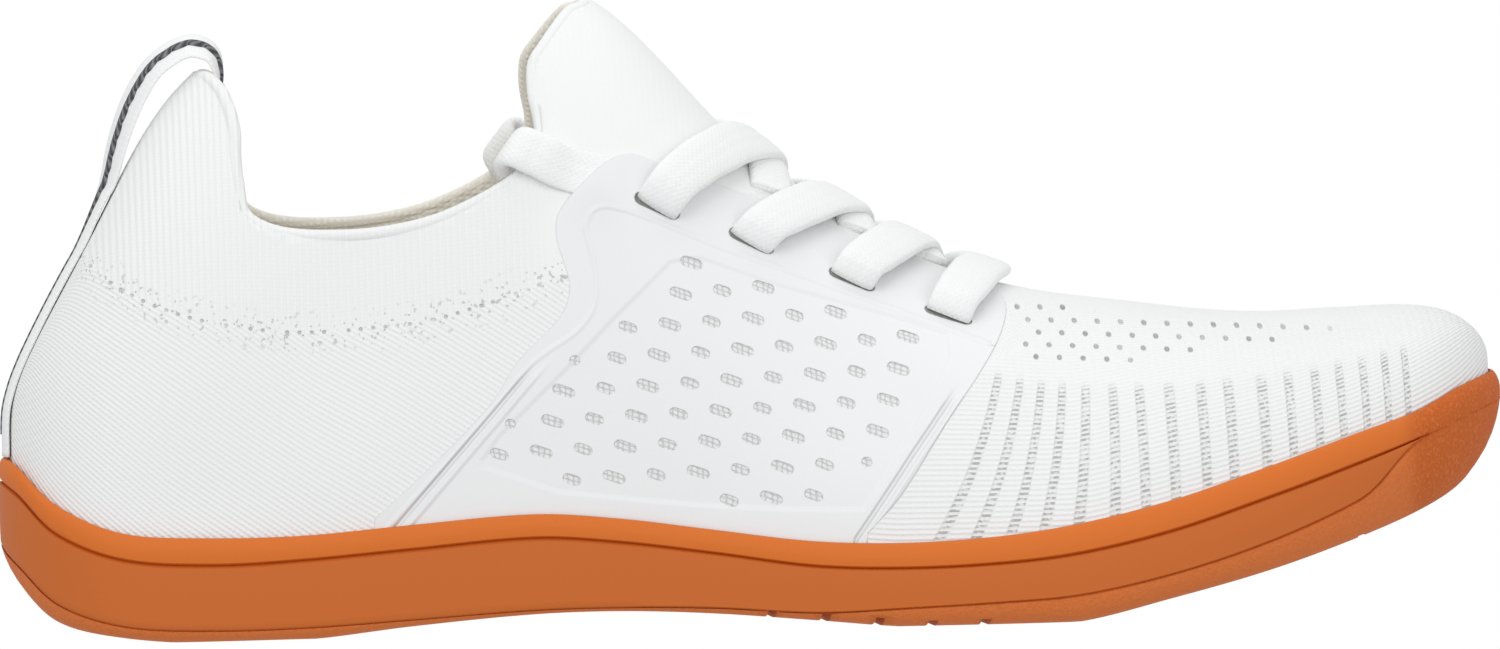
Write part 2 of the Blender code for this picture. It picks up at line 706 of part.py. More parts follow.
def strip_places(slot, side, ridge, end_x, far, rise):
    """Path of one lace strip over the instep, from its slot to the other side; far is 1 for the other slot."""
    start_x, start_z = slot.along * LENGTH, slot.up * TONGUE_HEIGHT
    start_turn = turn_at(share_at(start_x), side, start_z)
    in_slot = LACE_THICK / 2 + LACE_CLEAR - GAP
    on_panel = LACE_THICK / 2 + LACE_CLEAR + OVERLAY
    on_tongue = LACE_THICK / 2 + GAP + rise
    top, out = 1 / (1 + far), STRIP_PLACES[1]
    knots = [(0.0, start_x), (STRIP_LEAVES, start_x + LEAVE_SHARE * (ridge - start_x)), (top, ridge)]
    lifts = [(0.0, in_slot), (out, on_panel), (STRIP_LANDS, on_panel), (top, on_tongue)]
    steps = STRIP_PLACES
    if far == 1:
        knots.append((1 - STRIP_LEAVES, end_x + LEAVE_SHARE * (ridge - end_x)))
        lifts += [(1 - STRIP_LANDS, on_panel), (1 - out, on_panel), (1.0, in_slot)]
        steps += (1 - out,)
    else:
        lifts.append((1.0, on_tongue))
    knots.append((1.0, end_x))
    places = []
    for t in steps + (1.0,):
        x = smooth(*zip(*knots), t)
        lift = float(np.interp(t, *zip(*lifts)))
        places.append(over_form(x, start_turn * (1 - t * (1 + far)), lift))
    return places


def lace(look, parts, cutters):
    """Three crossings, each of two joined strips, and the front bar. Between them the lace runs hidden."""
    for k, row in enumerate(STRIPS):
        strips = []
        for side, name, group, rise, aside in (
            (LATERAL, "crossing", parts, OVER_RISE, 0.0), (MEDIAL, "strip", cutters, UNDER_RISE, STRIP_ASIDE),
        ):
            ridge = row.ridge * LENGTH + aside
            places = strip_places(SLOTS[row.slot], side, ridge, row.far * LENGTH, FAR_SHARE, rise)
            strips.append(ribbon(f"lace_{name}_{k + 1}", places, LACE_WIDTH, LACE_THICK, look, group))
        boolean(strips[0], "UNION", as_cutter(strips[1]))
    last = SLOTS[-1]
    bar = strip_places(last, LATERAL, FRONT_BAR_RIDGE * LENGTH, last.along * LENGTH, 1, OVER_RISE)
    ribbon("lace_bar", bar, LACE_WIDTH, LACE_THICK, look, parts)
    for name, side in (("lace_end_lateral", LATERAL), ("lace_end_medial", MEDIAL)):
        ribbon(name, lace_end_places(side), LACE_WIDTH, LACE_THICK, look, parts)


def lace_end_places(side):
    """Path of a lace end, outside the wall, round its rim and down inside."""
    clear = (WALL + LACE_THICK) / 2 + GAP + LACE_EASE
    away = Vector((-math.sin(RIM_SLOPE), 0, math.cos(RIM_SLOPE)))
    places = []
    for row in LACE_END:
        middle, normal = on_form(row.along * LENGTH, side, row.up * TONGUE_HEIGHT, -WALL / 2)
        fold = math.radians(row.fold)
        facing = normal * math.cos(fold) + away * math.sin(fold)
        places.append((middle + facing * clear, facing))
    return places


def pull_loop(look, parts):
    """A tape sewn inside the heel tab, free in a loop over its top, then down the back to the sole."""
    inside = -(WALL + GAP + TAPE_SAG + TAPE_THICK / 2)
    outside = GAP + TAPE_THICK / 2
    places = []
    for along in (0.098, 0.110, 0.122, 0.134):
        point, normal = over_form(along * LENGTH, 0.0, inside)
        places.append((point, -normal, 0.0))
    for row in LOOP:
        places.append((Vector((row.along * LENGTH, 0, row.up * TAB_HEIGHT)), None, math.radians(row.lean)))
    for share in (0.060, 0.052, 0.045, 0.038, 0.029, 0.019, 0.011, 0.005, 0.001):
        point, normal = over_form(FORM_BACK + share * FORM_LENGTH, 0.0, outside)
        places.append((point, normal, 0.0))
    foot = sole_line("edge", 0.0) + 2 * GAP
    places.append((Vector((FORM_BACK - outside, 0, foot)), Vector((-1, 0, 0)), 0.0))
    laid = []
    for i, (point, normal, lean) in enumerate(places):
        if normal is None:
            tangent = places[i + 1][0] - places[i - 1][0]
            normal = Vector((tangent.z, 0, -tangent.x)).normalized()
            if lean:
                normal = (normal * math.cos(lean) + Vector((0, -math.sin(lean), 0))).normalized()
        laid.append((point, normal))
    return ribbon("pull_loop", laid, TAPE_WIDTH, TAPE_THICK, look, parts)


def main():
    clear_scene()
    parts = collection("barefoot_shoe")
    cutters = collection("cutters")
    knit = material("knit", KNIT)
    panel_white = material("panel_white", PANEL_WHITE)
    lace_white = material("lace_white", LACE_WHITE)
    outsole(material("gum_rubber", GUM), parts, cutters)
    insole(material("lining", LINING), parts)
    upper(knit, parts, cutters)
    overlay("overlay_lateral", LATERAL, panel_white, parts, cutters)
    overlay("overlay_medial", MEDIAL, panel_white, parts, cutters)
    lace(lace_white, parts, cutters)
    pull_loop(lace_white, parts)


main()
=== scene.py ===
"""Looks of the barefoot shoe: knit, panels, laces, pull loop and gum sole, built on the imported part.

Lengths are millimetres in the heel's frame, where x starts at the back of the heel, until a mesh is made.
"""
import math
from collections import namedtuple
from functools import reduce

import bmesh
import bpy
import numpy as np
from mathutils import Matrix, Vector


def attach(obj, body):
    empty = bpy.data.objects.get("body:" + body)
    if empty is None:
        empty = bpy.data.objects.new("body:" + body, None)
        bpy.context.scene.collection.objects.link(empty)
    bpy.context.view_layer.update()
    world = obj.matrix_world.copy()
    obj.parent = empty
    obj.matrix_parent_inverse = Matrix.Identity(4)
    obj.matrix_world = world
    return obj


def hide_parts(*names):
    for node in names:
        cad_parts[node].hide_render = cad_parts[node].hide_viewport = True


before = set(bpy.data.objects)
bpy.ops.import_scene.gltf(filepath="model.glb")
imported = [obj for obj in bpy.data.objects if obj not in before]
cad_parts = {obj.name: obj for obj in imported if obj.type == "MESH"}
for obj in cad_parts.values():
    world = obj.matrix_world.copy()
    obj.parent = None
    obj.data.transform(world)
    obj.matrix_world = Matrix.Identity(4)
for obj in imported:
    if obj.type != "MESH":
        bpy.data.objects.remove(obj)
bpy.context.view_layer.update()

LENGTH = 286.0
BALL_WIDTH = 105.0
HEEL_WIDTH = 70.0
TAB_HEIGHT = 106.0
COLLAR_HEIGHT = 75.5
TONGUE_HEIGHT = 117.5
TOE_HEIGHT = 54.0
GAP = 0.3
WALL = 2.0
SOLE_FLOOR = 5.0
SOLE_SIDE = 2.2
SOLE_HEIGHT = 20.0
FORM_BACK = SOLE_SIDE
FORM_LENGTH = LENGTH - 2 * SOLE_SIDE
LATERAL, MEDIAL = -1, 1

Section = namedtuple("Section", "along width outer inner height crown lean full")
SoleRow = namedtuple("SoleRow", "along under line groove edge")
Rim = namedtuple("Rim", "along size up")
Corner = namedtuple("Corner", "along up")
HoleRow = namedtuple("HoleRow", "first last small_first small_last")
Pass = namedtuple("Pass", "along up fold")
Free = namedtuple("Free", "along up lean")
SlitRow = namedtuple("SlitRow", "along count reach slant")
Strip = namedtuple("Strip", "slot ridge far_x far")


def table(row, *rows):
    """Rows of one kind, whose columns have that kind's names."""
    return tuple(row(*values) for values in rows)


FORM = table(
    Section,
    (0, HEEL_WIDTH, 0, 0, TAB_HEIGHT, 0.362, 0, 4.2),
    (0.02, HEEL_WIDTH, -0.27, 0.27, TAB_HEIGHT, 0.53, 0, 3.2),
    (0.06, HEEL_WIDTH, -0.415, 0.415, TAB_HEIGHT, 0.716, 0, 2.6),
    (0.12, HEEL_WIDTH, -0.472, 0.472, TAB_HEIGHT, 0.964, 0, 2.25),
    (0.2, HEEL_WIDTH, -0.486, 0.483, TONGUE_HEIGHT, 1.01, 0, 2.1),
    (0.3, HEEL_WIDTH, -0.507, 0.486, TONGUE_HEIGHT, 1.05, 0, 2),
    (0.4, BALL_WIDTH, -0.367, 0.329, TONGUE_HEIGHT, 0.996, 0, 1.95),
    (0.5, BALL_WIDTH, -0.414, 0.35, TONGUE_HEIGHT, 0.753, 0.014, 1.9),
    (0.6, BALL_WIDTH, -0.462, 0.405, TONGUE_HEIGHT, 0.594, 0.03, 1.95),
    (0.68, BALL_WIDTH, -0.479, 0.452, TOE_HEIGHT, 1.125, 0.045, 2.05),
    (0.76, BALL_WIDTH, -0.461, 0.479, TOE_HEIGHT, 1.044, 0.06, 2.2),
    (0.84, BALL_WIDTH, -0.392, 0.47, TOE_HEIGHT, 1, 0.08, 2.35),
    (0.9, BALL_WIDTH, -0.306, 0.438, TOE_HEIGHT, 1.002, 0.1, 2.5),
    (0.95, BALL_WIDTH, -0.194, 0.374, TOE_HEIGHT, 1.008, 0.11, 2.7),
    (0.98, BALL_WIDTH, -0.08, 0.296, TOE_HEIGHT, 0.965, 0.11, 3),
    (1, BALL_WIDTH, 0.11, 0.11, TOE_HEIGHT, 0.81, 0.11, 3.8),
)
SOLE = table(
    SoleRow,
    (0, 0.87, 0.93, 1.52, 1.76), (0.012, 0.49, 0.7, 1.38, 1.64), (0.036, 0.185, 0.375, 1.035, 1.31),
    (0.08, 0.045, 0.168, 0.79, 1.04), (0.14, -0.02, 0.115, 0.725, 0.98), (0.2, -0.005, 0.122, 0.755, 0.982),
    (0.27, 0.095, 0.17, 0.828, 1.055), (0.35, 0.18, 0.23, 0.905, 1.125), (0.405, 0.19, 0.236, 0.845, 1.065),
    (0.465, 0.15, 0.215, 0.728, 0.945), (0.53, 0.07, 0.155, 0.59, 0.82), (0.59, -0.006, 0.185, 0.555, 0.79),
    (0.65, -0.02, 0.22, 0.58, 0.83), (0.7, -0.002, 0.265, 0.648, 0.92), (0.762, 0.183, 0.43, 0.825, 1.105),
    (0.825, 0.385, 0.675, 1.08, 1.36), (0.888, 0.638, 1.01, 1.35, 1.628), (0.932, 0.84, 1.33, 1.54, 1.8),
    (0.965, 1.04, 1.5, 1.7, 1.99), (0.988, 1.3, 1.61, 1.79, 2.07), (1, 1.6, 1.68, 1.83, 2.09),
)
COLLAR = table(
    Rim,
    (0.122, TAB_HEIGHT, 1.045), (0.1345, TAB_HEIGHT, 1), (0.1434, TAB_HEIGHT, 0.993),
    (0.1528, TAB_HEIGHT, 0.966), (0.1598, TAB_HEIGHT, 0.905), (0.16, TAB_HEIGHT, 0.855),
    (0.1612, TAB_HEIGHT, 0.811), (0.166, COLLAR_HEIGHT, 1.055), (0.1878, COLLAR_HEIGHT, 1.011),
    (0.2252, COLLAR_HEIGHT, 0.998), (0.264, COLLAR_HEIGHT, 1.008), (0.3, COLLAR_HEIGHT, 1.043),
    (0.343, COLLAR_HEIGHT, 1.127), (0.36, TONGUE_HEIGHT, 0.772), (0.361, TONGUE_HEIGHT, 0.81),
    (0.3577, TONGUE_HEIGHT, 0.862), (0.359, TONGUE_HEIGHT, 0.907), (0.3671, TONGUE_HEIGHT, 0.936),
    (0.3752, TONGUE_HEIGHT, 0.961), (0.3853, TONGUE_HEIGHT, 0.987), (0.3962, TONGUE_HEIGHT, 0.998),
    (0.412, TONGUE_HEIGHT, 1.05),
)
PANEL = table(
    Corner,
    (0.244, 0.19), (0.2801, 0.267), (0.322, 0.367), (0.3406, 0.434), (0.3608, 0.481), (0.372, 0.513),
    (0.3762, 0.549), (0.3734, 0.585), (0.3689, 0.623), (0.3692, 0.658), (0.3752, 0.683), (0.3874, 0.715),
    (0.4052, 0.749), (0.42, 0.757), (0.4395, 0.739), (0.4983, 0.681), (0.5654, 0.613), (0.6269, 0.551),
    (0.656, 0.527), (0.6655, 0.498), (0.661, 0.46), (0.649, 0.414), (0.6178, 0.316), (0.5871, 0.209),
    (0.564, 0.15),
)
SLOTS = table(Corner, (0.4356, 0.673), (0.4970, 0.611), (0.5629, 0.545), (0.6255, 0.483))
HOLE_ROWS = table(
    HoleRow,
    (0, 0, False, False), (0, 2, False, False), (-1, 4, False, False), (-2, 6, True, False),
    (-2, 6, False, False), (-3, 6, True, False), (-3, 6, False, False), (-1, 6, False, True),
    (3, 5, False, False),
)
LACE_END = table(
    Pass,
    (0.3811, 0.732, 0), (0.37, 0.741, 0), (0.3605, 0.753, 0), (0.3535, 0.761, 0), (0.3501, 0.76, 45),
    (0.3483, 0.7555, 90), (0.3466, 0.75, 135), (0.3462, 0.743, 180), (0.3552, 0.7, 180),
    (0.3692, 0.623, 180), (0.3916, 0.5, 180),
)
LOOP = table(
    Free,
    (0.149, 0.962, 0), (0.1518, 0.976, 4), (0.1522, 1.002, 10), (0.149, 1.027, 16), (0.142, 1.04, 20),
    (0.134, 1.043, 20), (0.124, 1.034, 20), (0.109, 1.004, 20), (0.095, 0.944, 20), (0.085, 0.874, 18),
    (0.078, 0.806, 14), (0.0725, 0.775, 8),
)
TREAD = table(
    SlitRow,
    (0.075, 1, 0.200, 0), (0.215, 4, 0.230, 0), (0.484, 5, 0.620, 6), (0.712, 6, 0.290, 6),
)
SLOT_TILT, LACE_TILT = math.radians(-24), math.radians(-34)
SLOT_WIDTH, SLOT_HEIGHT = 9.4, 2.6
HOLE_START = Corner(0.4566, 0.5815)
HOLE_STEP = (7.84, 0.29)
HOLE_ROW_STEP = (-2.27, -5.61)
HOLE_TILT = math.radians(-20)
HOLE_LONG, HOLE_SHORT, HOLE_END, HOLE_HEIGHT = 4.3, 3.5, 2.0, 1.8
GROOVES_FADE, LINE_TURNS_UP = (0.929, 0.940), (0.885, 0.936)
PANEL_THICK = 0.9
LACE_WIDTH, LACE_THICK, LACE_END_WIDTH = 9.6, 2.9, 8.6
TAPE_WIDTH, TAPE_THICK = 11.0, 1.1
SLOT_PUNCH = (-1.0, 4.0)
PANEL_SPAN, SEAM_APART = (58, 196), 1.6
LACE_END_START = ((116.0, 83.6, 0), (113.0, 85.0, 0))
OVER_RIM = math.radians(49)
BAR_STEP, BAR_WIDE, BAR_DEEP = 9.8, 1.7, 1.2
GROOVE_DEEP, BAND_FADES, PEBBLES_START = 0.7, (262, 268), (263, 268)

# Pitches of the knit, the seam's dots and the lace.
RIB, RIB_ROW, TWILL, TWILL_CROSS, COURSE, STITCH = 1.25, 0.8, 1.15, 1.6, 1.02, 1.5
DOT_PITCH, LACE_LANE = 2.3, 2.2
TONGUE_STARTS = (97, 108)

# The photo's view in degrees and metres, and the lamps with their watts.
VIEW_ANGLES, VIEW_PLACE = (-3.0, 3.0, -1.53), (-0.156933, -2.991783, 0.211884)
SENSOR, PHOTO_WIDTH, PIXELS_PER_MM, VIEW_DISTANCE = 36, 1500, 5.285, 3000
LAMPS = (("key", (-0.9, -1.5, 1.4), 12.0), ("fill", (1.2, -1.6, 0.7), 6.0), ("top", (0.1, 0.2, 1.8), 5.5))
LAMPS_AIM = (0, 0, 0.05)

# Lines on the outer side, in x and z.
DOTS = ((18.1, 70.5), (23.1, 66.5), (32.6, 62.0), (43.6, 59.1), (57.7, 57.4), (75.7, 58.3), (81.1, 58.9),
        (94.5, 62.6), (106.8, 66.9))
SEAM_REAR = ((96.0, 70.0), (106.2, 57.6), (104.6, 54.8), (98.9, 48.5), (91.8, 40.6), (85.2, 33.3), (78.8, 26.2),
             (69.0, 15.4))
SEAM_FRONT = ((196.0, 52.0), (184.0, 47.6), (181.0, 46.0), (177.6, 41.6), (170.5, 32.3), (159.0, 16.3))
EMBOSS = ((66.2, 14.7), (74.2, 22.7), (91.1, 40.4), (100.8, 51.1), (108.6, 56.3), (112.2, 61.2), (112.4, 68.8),
          (111.0, 75.3), (112.3, 78.6), (115.5, 79.4), (123.7, 76.6), (136.1, 71.1), (147.9, 66.6), (163.9, 60.3),
          (186.0, 51.6))
RECESS = ((89.4, 31.8), (93.3, 37.1), (107.3, 50.4), (115.8, 58.9), (126.7, 68.9), (132.2, 69.4), (147.7, 63.5),
          (171.4, 56.3), (178.3, 53.6), (178.6, 49.5), (173.4, 40.8), (165.8, 28.8), (161.0, 22.0), (145.3, 22.4),
          (128.6, 23.6), (104.5, 26.4))
PINS = ((190.4, 59.8), (199.7, 59.8), (212.9, 57.5), (227.9, 55.2), (253.0, 52.9), (251.6, 50.6), (234.0, 49.2),
        (221.2, 48.0), (211.0, 46.3), (196.7, 46.6), (192.0, 51.0))
TOE_TOP = ((184.8, 46.5), (193.2, 44.3), (206.3, 43.1), (221.4, 42.8), (236.9, 43.6), (250.6, 45.1), (264.6, 47.3),
           (275.0, 49.4))
STRIPE_FEET = (174.5, 181.4, 188.0, 194.2, 200.7, 207.7, 213.5, 219.2, 225.4, 230.5, 237.2, 242.3, 247.6, 252.3,
               257.0, 261.4, 265.4)
LAST_STRIPE = len(STRIPE_FEET) - 1
PIN_START = (192.5, 57.6)
PIN_ACROSS, PIN_DOWN = (4.45, -0.30), (1.70, -2.27)


def smooth(places, values, at):
    """A smooth curve through a table's rows, read at many places."""
    places, values = np.asarray(places, float), np.asarray(values, float)
    at = np.clip(np.asarray(at, float), places[0], places[-1])
    low = np.maximum(np.arange(len(places)) - 1, 0)
    high = np.minimum(np.arange(len(places)) + 1, len(places) - 1)
    slopes = (values[high] - values[low]) / (places[high] - places[low])
    i = np.clip(np.searchsorted(places, at) - 1, 0, len(places) - 2)
    span = places[i + 1] - places[i]
    t = (at - places[i]) / span
    return (
        values[i] * (1 + 2 * t) * (1 - t) ** 2
        + slopes[i] * span * t * (1 - t) ** 2
        + values[i + 1] * t * t * (3 - 2 * t)
        + slopes[i + 1] * span * t * t * (t - 1)
    )


def ease(low, high, value):
    """0 below low and 1 above high, smooth between."""
    t = np.clip((np.asarray(value, float) - low) / (high - low), 0, 1)
    return t * t * (3 - 2 * t)


def angle_of(share):
    """Half a turn spread over a length, which opens the curves up at its ends."""
    return np.arccos(1 - 2 * np.clip(share, 0, 1))


FORM_ANGLES = angle_of([row.along for row in FORM])
FORM_COLUMNS = (
    [row.outer * row.width for row in FORM],
    [row.inner * row.width for row in FORM],
    [row.crown * row.height for row in FORM],
    [row.lean * row.width for row in FORM],
    [row.full for row in FORM],
)
SOLE_ANGLES = angle_of([row.along for row in SOLE])
SOLE_LINES = {name: [getattr(row, name) * SOLE_HEIGHT for row in SOLE] for name in SoleRow._fields[1:]}


def sole_line(name, x):
    """Height of one of the sole's lines, never under the floor."""
    return np.maximum(smooth(SOLE_ANGLES, SOLE_LINES[name], angle_of(np.asarray(x) / LENGTH)), 0.0)


def side_line(name, x):
    """A line of the sole's side; the lower groove turns up into the upper one at the toe."""
    height = sole_line(name, x)
    if name != "line":
        return height
    start, end = (share * LENGTH for share in LINE_TURNS_UP)
    return height + (sole_line("groove", x) - height) * 0.97 * ease(start, end, x) ** 1.6


def section(share):
    """Edges, crown, lean and fullness of the foot form, its x and the height of its foot."""
    share = np.asarray(share, float)
    x = FORM_BACK + share * FORM_LENGTH
    columns = [smooth(FORM_ANGLES, column, angle_of(share)) for column in FORM_COLUMNS]
    return (x, *columns, sole_line("under", x) + SOLE_FLOOR + GAP)


def form(share, turn):
    """Points of the form: turn is -1 at the outer floor edge, 0 on the crown and 1 at the inner edge."""
    share, turn = np.broadcast_arrays(np.asarray(share, float), np.asarray(turn, float))
    x, outer, inner, crown, lean, full, base = section(share)
    angle = (1 - np.abs(turn)) * math.pi / 2
    edge = np.where(turn < 0, outer, inner)
    y = lean + (edge - lean) * np.maximum(np.cos(angle), 0) ** (2 / full)
    z = base + (crown - base) * np.maximum(np.sin(angle), 0) ** (2 / full)
    return np.stack([x, y, z], axis=-1)


def turn_at(share, side, z):
    _, _, _, crown, _, full, base = section(share)
    rise = np.clip((z - base) / (crown - base), 0, 1)
    return side * (1 - np.arcsin(rise ** (full / 2)) / (math.pi / 2))


def unit(vectors):
    return vectors / np.maximum(np.linalg.norm(vectors, axis=-1, keepdims=True), 1e-12)


def form_normal(share, turn):
    step = 0.004
    angle = np.clip(angle_of(share), 5 * step, math.pi - 5 * step)
    turn = np.clip(turn, -1 + step, 1 - step)
    before, after, middle = ((1 - np.cos(angle + d)) / 2 for d in (-step, step, 0.0))
    along = form(after, turn) - form(before, turn)
    across = form(middle, turn + step) - form(middle, turn - step)
    return unit(np.cross(along, across))


def share_at(x):
    return (np.asarray(x, float) - FORM_BACK) / FORM_LENGTH


def over_form(x, turn, out):
    """Points out from the form, and its normals there."""
    share = share_at(x)
    normal = form_normal(share, turn)
    return form(share, turn) + normal * np.asarray(out, float)[..., None], normal


def on_form(x, side, z, out):
    return over_form(x, turn_at(share_at(x), side, z), out)


def form_grid(shares, turns, out_of):
    """A grid of points over the form, each moved out by what out_of says of it."""
    points = form(shares[:, None], turns[None, :])
    return points + form_normal(shares[:, None], turns[None, :]) * out_of(points)[..., None]


def slanted(angle, normal):
    """The direction on a surface that has an angle in the side view."""
    level = np.array([math.cos(angle), 0, math.sin(angle)])
    return unit(level - normal * (normal @ level)[..., None])


def station_shares(count):
    """Shares of the form's length, closer together at its ends."""
    return (1 - np.cos(np.pi * np.arange(count + 1) / count)) / 2


def run_along(line):
    """How far along a line each of its points is."""
    return np.concatenate([[0], np.cumsum(np.linalg.norm(np.diff(line, axis=0), axis=1))])


def through(line, steps):
    """A smooth line through points, with a few places between each two."""
    line = np.asarray(line, float)
    places = run_along(line)
    at = np.concatenate([
        np.linspace(a, b, steps, endpoint=False) for a, b in zip(places, places[1:])
    ] + [[places[-1]]])
    return np.stack([smooth(places, line[:, k], at) for k in range(line.shape[1])], axis=-1)


def to_line(points, line):
    """Distance of points in x and z to a line, positive on its left, and how far along the line they are."""
    line = np.asarray(line, float)
    best = np.full(len(points), np.inf)
    side, along, run = np.ones(len(points)), np.zeros(len(points)), 0.0
    for a, b in zip(line, line[1:]):
        d = b - a
        size = np.linalg.norm(d)
        t = np.clip(((points - a) @ d) / size ** 2, 0, 1)
        away = np.linalg.norm(points - (a + t[:, None] * d), axis=1)
        nearer = away < best
        cross = d[0] * (points - a)[:, 1] - d[1] * (points - a)[:, 0]
        best = np.where(nearer, away, best)
        side = np.where(nearer, np.where(cross >= 0, 1.0, -1.0), side)
        along = np.where(nearer, run + t * size, along)
        run += size
    return best * side, along


def in_area(points, corners):
    """Distance to the edge of an area in x and z, positive inside."""
    corners = np.asarray(corners, float)
    closed = np.vstack([corners, corners[:1]])
    away = np.abs(to_line(points, closed)[0])
    inside = np.zeros(len(points), bool)
    for a, b in zip(closed, closed[1:]):
        crosses = (a[1] > points[:, 1]) != (b[1] > points[:, 1])
        at = a[0] + (points[:, 1] - a[1]) / np.where(b[1] == a[1], 1e-9, b[1] - a[1]) * (b[0] - a[0])
        inside ^= crosses & (points[:, 0] < at)
    return np.where(inside, away, -away)


class Look:
    """One procedural material, put together from small node calls."""

    def __init__(self, name, colour, roughness, **inputs):
        self.material = bpy.data.materials.new(name)
        self.material.use_nodes = True
        self.tree = self.material.node_tree
        self.shader = self.tree.nodes["Principled BSDF"]
        self.set("Base Color", (*colour, 1.0))
        self.set("Roughness", roughness)
        for key, value in inputs.items():
            self.set(key.replace("_", " "), value)

    def set(self, name, value):
        self.feed(self.shader.inputs[name], value)

    def feed(self, socket, value):
        if isinstance(value, bpy.types.NodeSocket):
            self.tree.links.new(value, socket)
        elif value is not None:
            socket.default_value = value

    def add(self, kind, *values, **settings):
        node = self.tree.nodes.new(kind)
        for key, value in settings.items():
            setattr(node, key, value)
        for socket, value in zip(node.inputs, values):
            self.feed(socket, value)
        return node

    def calc(self, operation, *values):
        return self.add("ShaderNodeMath", *values, operation=operation).outputs[0]

    def times(self, *values):
        return reduce(lambda a, b: self.calc("MULTIPLY", a, b), values)

    def plus(self, *values):
        return reduce(lambda a, b: self.calc("ADD", a, b), values)

    def minus(self, a, b):
        return self.calc("SUBTRACT", a, b)

    def scaled(self, value, factor, added):
        return self.calc("MULTIPLY_ADD", value, factor, added)

    def size(self, value):
        return self.calc("ABSOLUTE", value)

    def length(self, a, b):
        return self.calc("SQRT", self.plus(self.times(a, a), self.times(b, b)))

    def blend(self, share, a, b):
        return self.plus(a, self.times(share, self.minus(b, a)))

    def weighted(self, *pairs):
        return self.plus(*(self.times(value, weight) for value, weight in pairs))

    def field(self, name):
        return self.add("ShaderNodeAttribute", attribute_name=name).outputs["Fac"]

    def step(self, low, high, value):
        """0 below low and 1 above high, smooth between."""
        node = self.add("ShaderNodeMapRange", value, low, high, 0.0, 1.0, interpolation_type="SMOOTHSTEP")
        return node.outputs[0]

    def wave(self, value, pitch):
        return self.scaled(self.calc("COSINE", self.times(value, 2 * math.pi / pitch)), 0.5, 0.5)

    def noise(self, scale, detail=3.0, roughness=0.6):
        place = self.add("ShaderNodeTexCoord").outputs["Object"]
        node = self.add("ShaderNodeTexNoise")
        self.feed(node.inputs["Vector"], place)
        for name, value in (("Scale", scale), ("Detail", detail), ("Roughness", roughness)):
            node.inputs[name].default_value = value
        return node.outputs[0]

    def mix(self, factor, a, b):
        node = self.add("ShaderNodeMix", data_type="RGBA")
        self.feed(node.inputs[0], factor)
        for socket, value in ((node.inputs[6], a), (node.inputs[7], b)):
            self.feed(socket, (*value, 1.0) if isinstance(value, tuple) else value)
        return node.outputs[2]

    def paint(self, colour, *coats):
        """The base colour: each coat is laid over the one before by its amount."""
        for amount, coat in coats:
            colour = self.mix(amount, colour, coat)
        self.set("Base Color", colour)

    def bump(self, height, strength=1.0, normal=None):
        """Height is in millimetres."""
        node = self.add("ShaderNodeBump")
        node.inputs["Strength"].default_value = strength
        node.inputs["Distance"].default_value = 0.001
        self.feed(node.inputs["Height"], height)
        if normal is not None:
            self.feed(node.inputs["Normal"], normal)
        self.set("Normal", node.outputs[0])


def make_object(name, points, faces, looks=(), smoothed=True):
    """A mesh from points in millimetres in the heel's frame."""
    mesh = bpy.data.meshes.new(name)
    moved = (np.asarray(points, float).reshape(-1, 3) - (LENGTH / 2, 0, 0)) / 1000
    mesh.from_pydata(moved.tolist(), [], [tuple(int(i) for i in face) for face in faces])
    for look in looks:
        mesh.materials.append(look.material)
    if smoothed:
        mesh.shade_smooth()
    made = bpy.data.objects.new(name, mesh)
    bpy.context.scene.collection.objects.link(made)
    return made


def grid_faces(rows, columns, round_rows=False, round_columns=False):
    """Quads of a grid, closed into rings where asked."""
    faces = []
    for i in range(rows if round_rows else rows - 1):
        for j in range(columns if round_columns else columns - 1):
            a, b = i * columns + j, i * columns + (j + 1) % columns
            c, d = ((i + 1) % rows) * columns + (j + 1) % columns, ((i + 1) % rows) * columns + j
            faces.append((a, b, c, d))
    return faces


def clean(item, merge=1e-6):
    bm = bmesh.new()
    bm.from_mesh(item.data)
    if merge:
        bmesh.ops.remove_doubles(bm, verts=bm.verts, dist=merge)
    bmesh.ops.recalc_face_normals(bm, faces=bm.faces)
    bm.to_mesh(item.data)
    bm.free()


def bake(item):
    """Apply the modifiers, so that the fields can be laid on the final points."""
    deps = bpy.context.evaluated_depsgraph_get()
    mesh = bpy.data.meshes.new_from_object(item.evaluated_get(deps))
    item.modifiers.clear()
    item.data = mesh


def thicken(item, thickness, offset, **settings):
    """Make a solid of a surface; offset says on which side, -1 for inward."""
    wall = item.modifiers.new("wall", "SOLIDIFY")
    wall.thickness, wall.offset = thickness / 1000, offset
    for key, value in settings.items():
        setattr(wall, key, value)
    bake(item)


def places_of(item):
    """A mesh's points in millimetres in the heel's frame."""
    flat = np.empty(len(item.data.vertices) * 3, np.float32)
    item.data.vertices.foreach_get("co", flat)
    return flat.reshape(-1, 3).astype(float) * 1000 + (LENGTH / 2, 0, 0)


def lay(item, **fields):
    """Lay values on a mesh's points, for its looks to read."""
    for name, values in fields.items():
        made = item.data.attributes.new(name, "FLOAT", "POINT")
        made.data.foreach_set("value", np.asarray(values, np.float32))


def prism(name, low, high):
    """A closed prism between two outlines with as many points."""
    count = len(low)
    faces = [tuple(range(count)), tuple(range(count, 2 * count))[::-1]]
    faces += [(i, (i + 1) % count, (i + 1) % count + count, i + count) for i in range(count)]
    made = make_object(name, [*low, *high], faces, smoothed=False)
    clean(made)
    return made


def cutter(name, outline, low, high):
    """A straight prism through y, over an outline in x and z."""
    return prism(name, *([(x, y, z) for x, z in outline] for y in (low, high)))


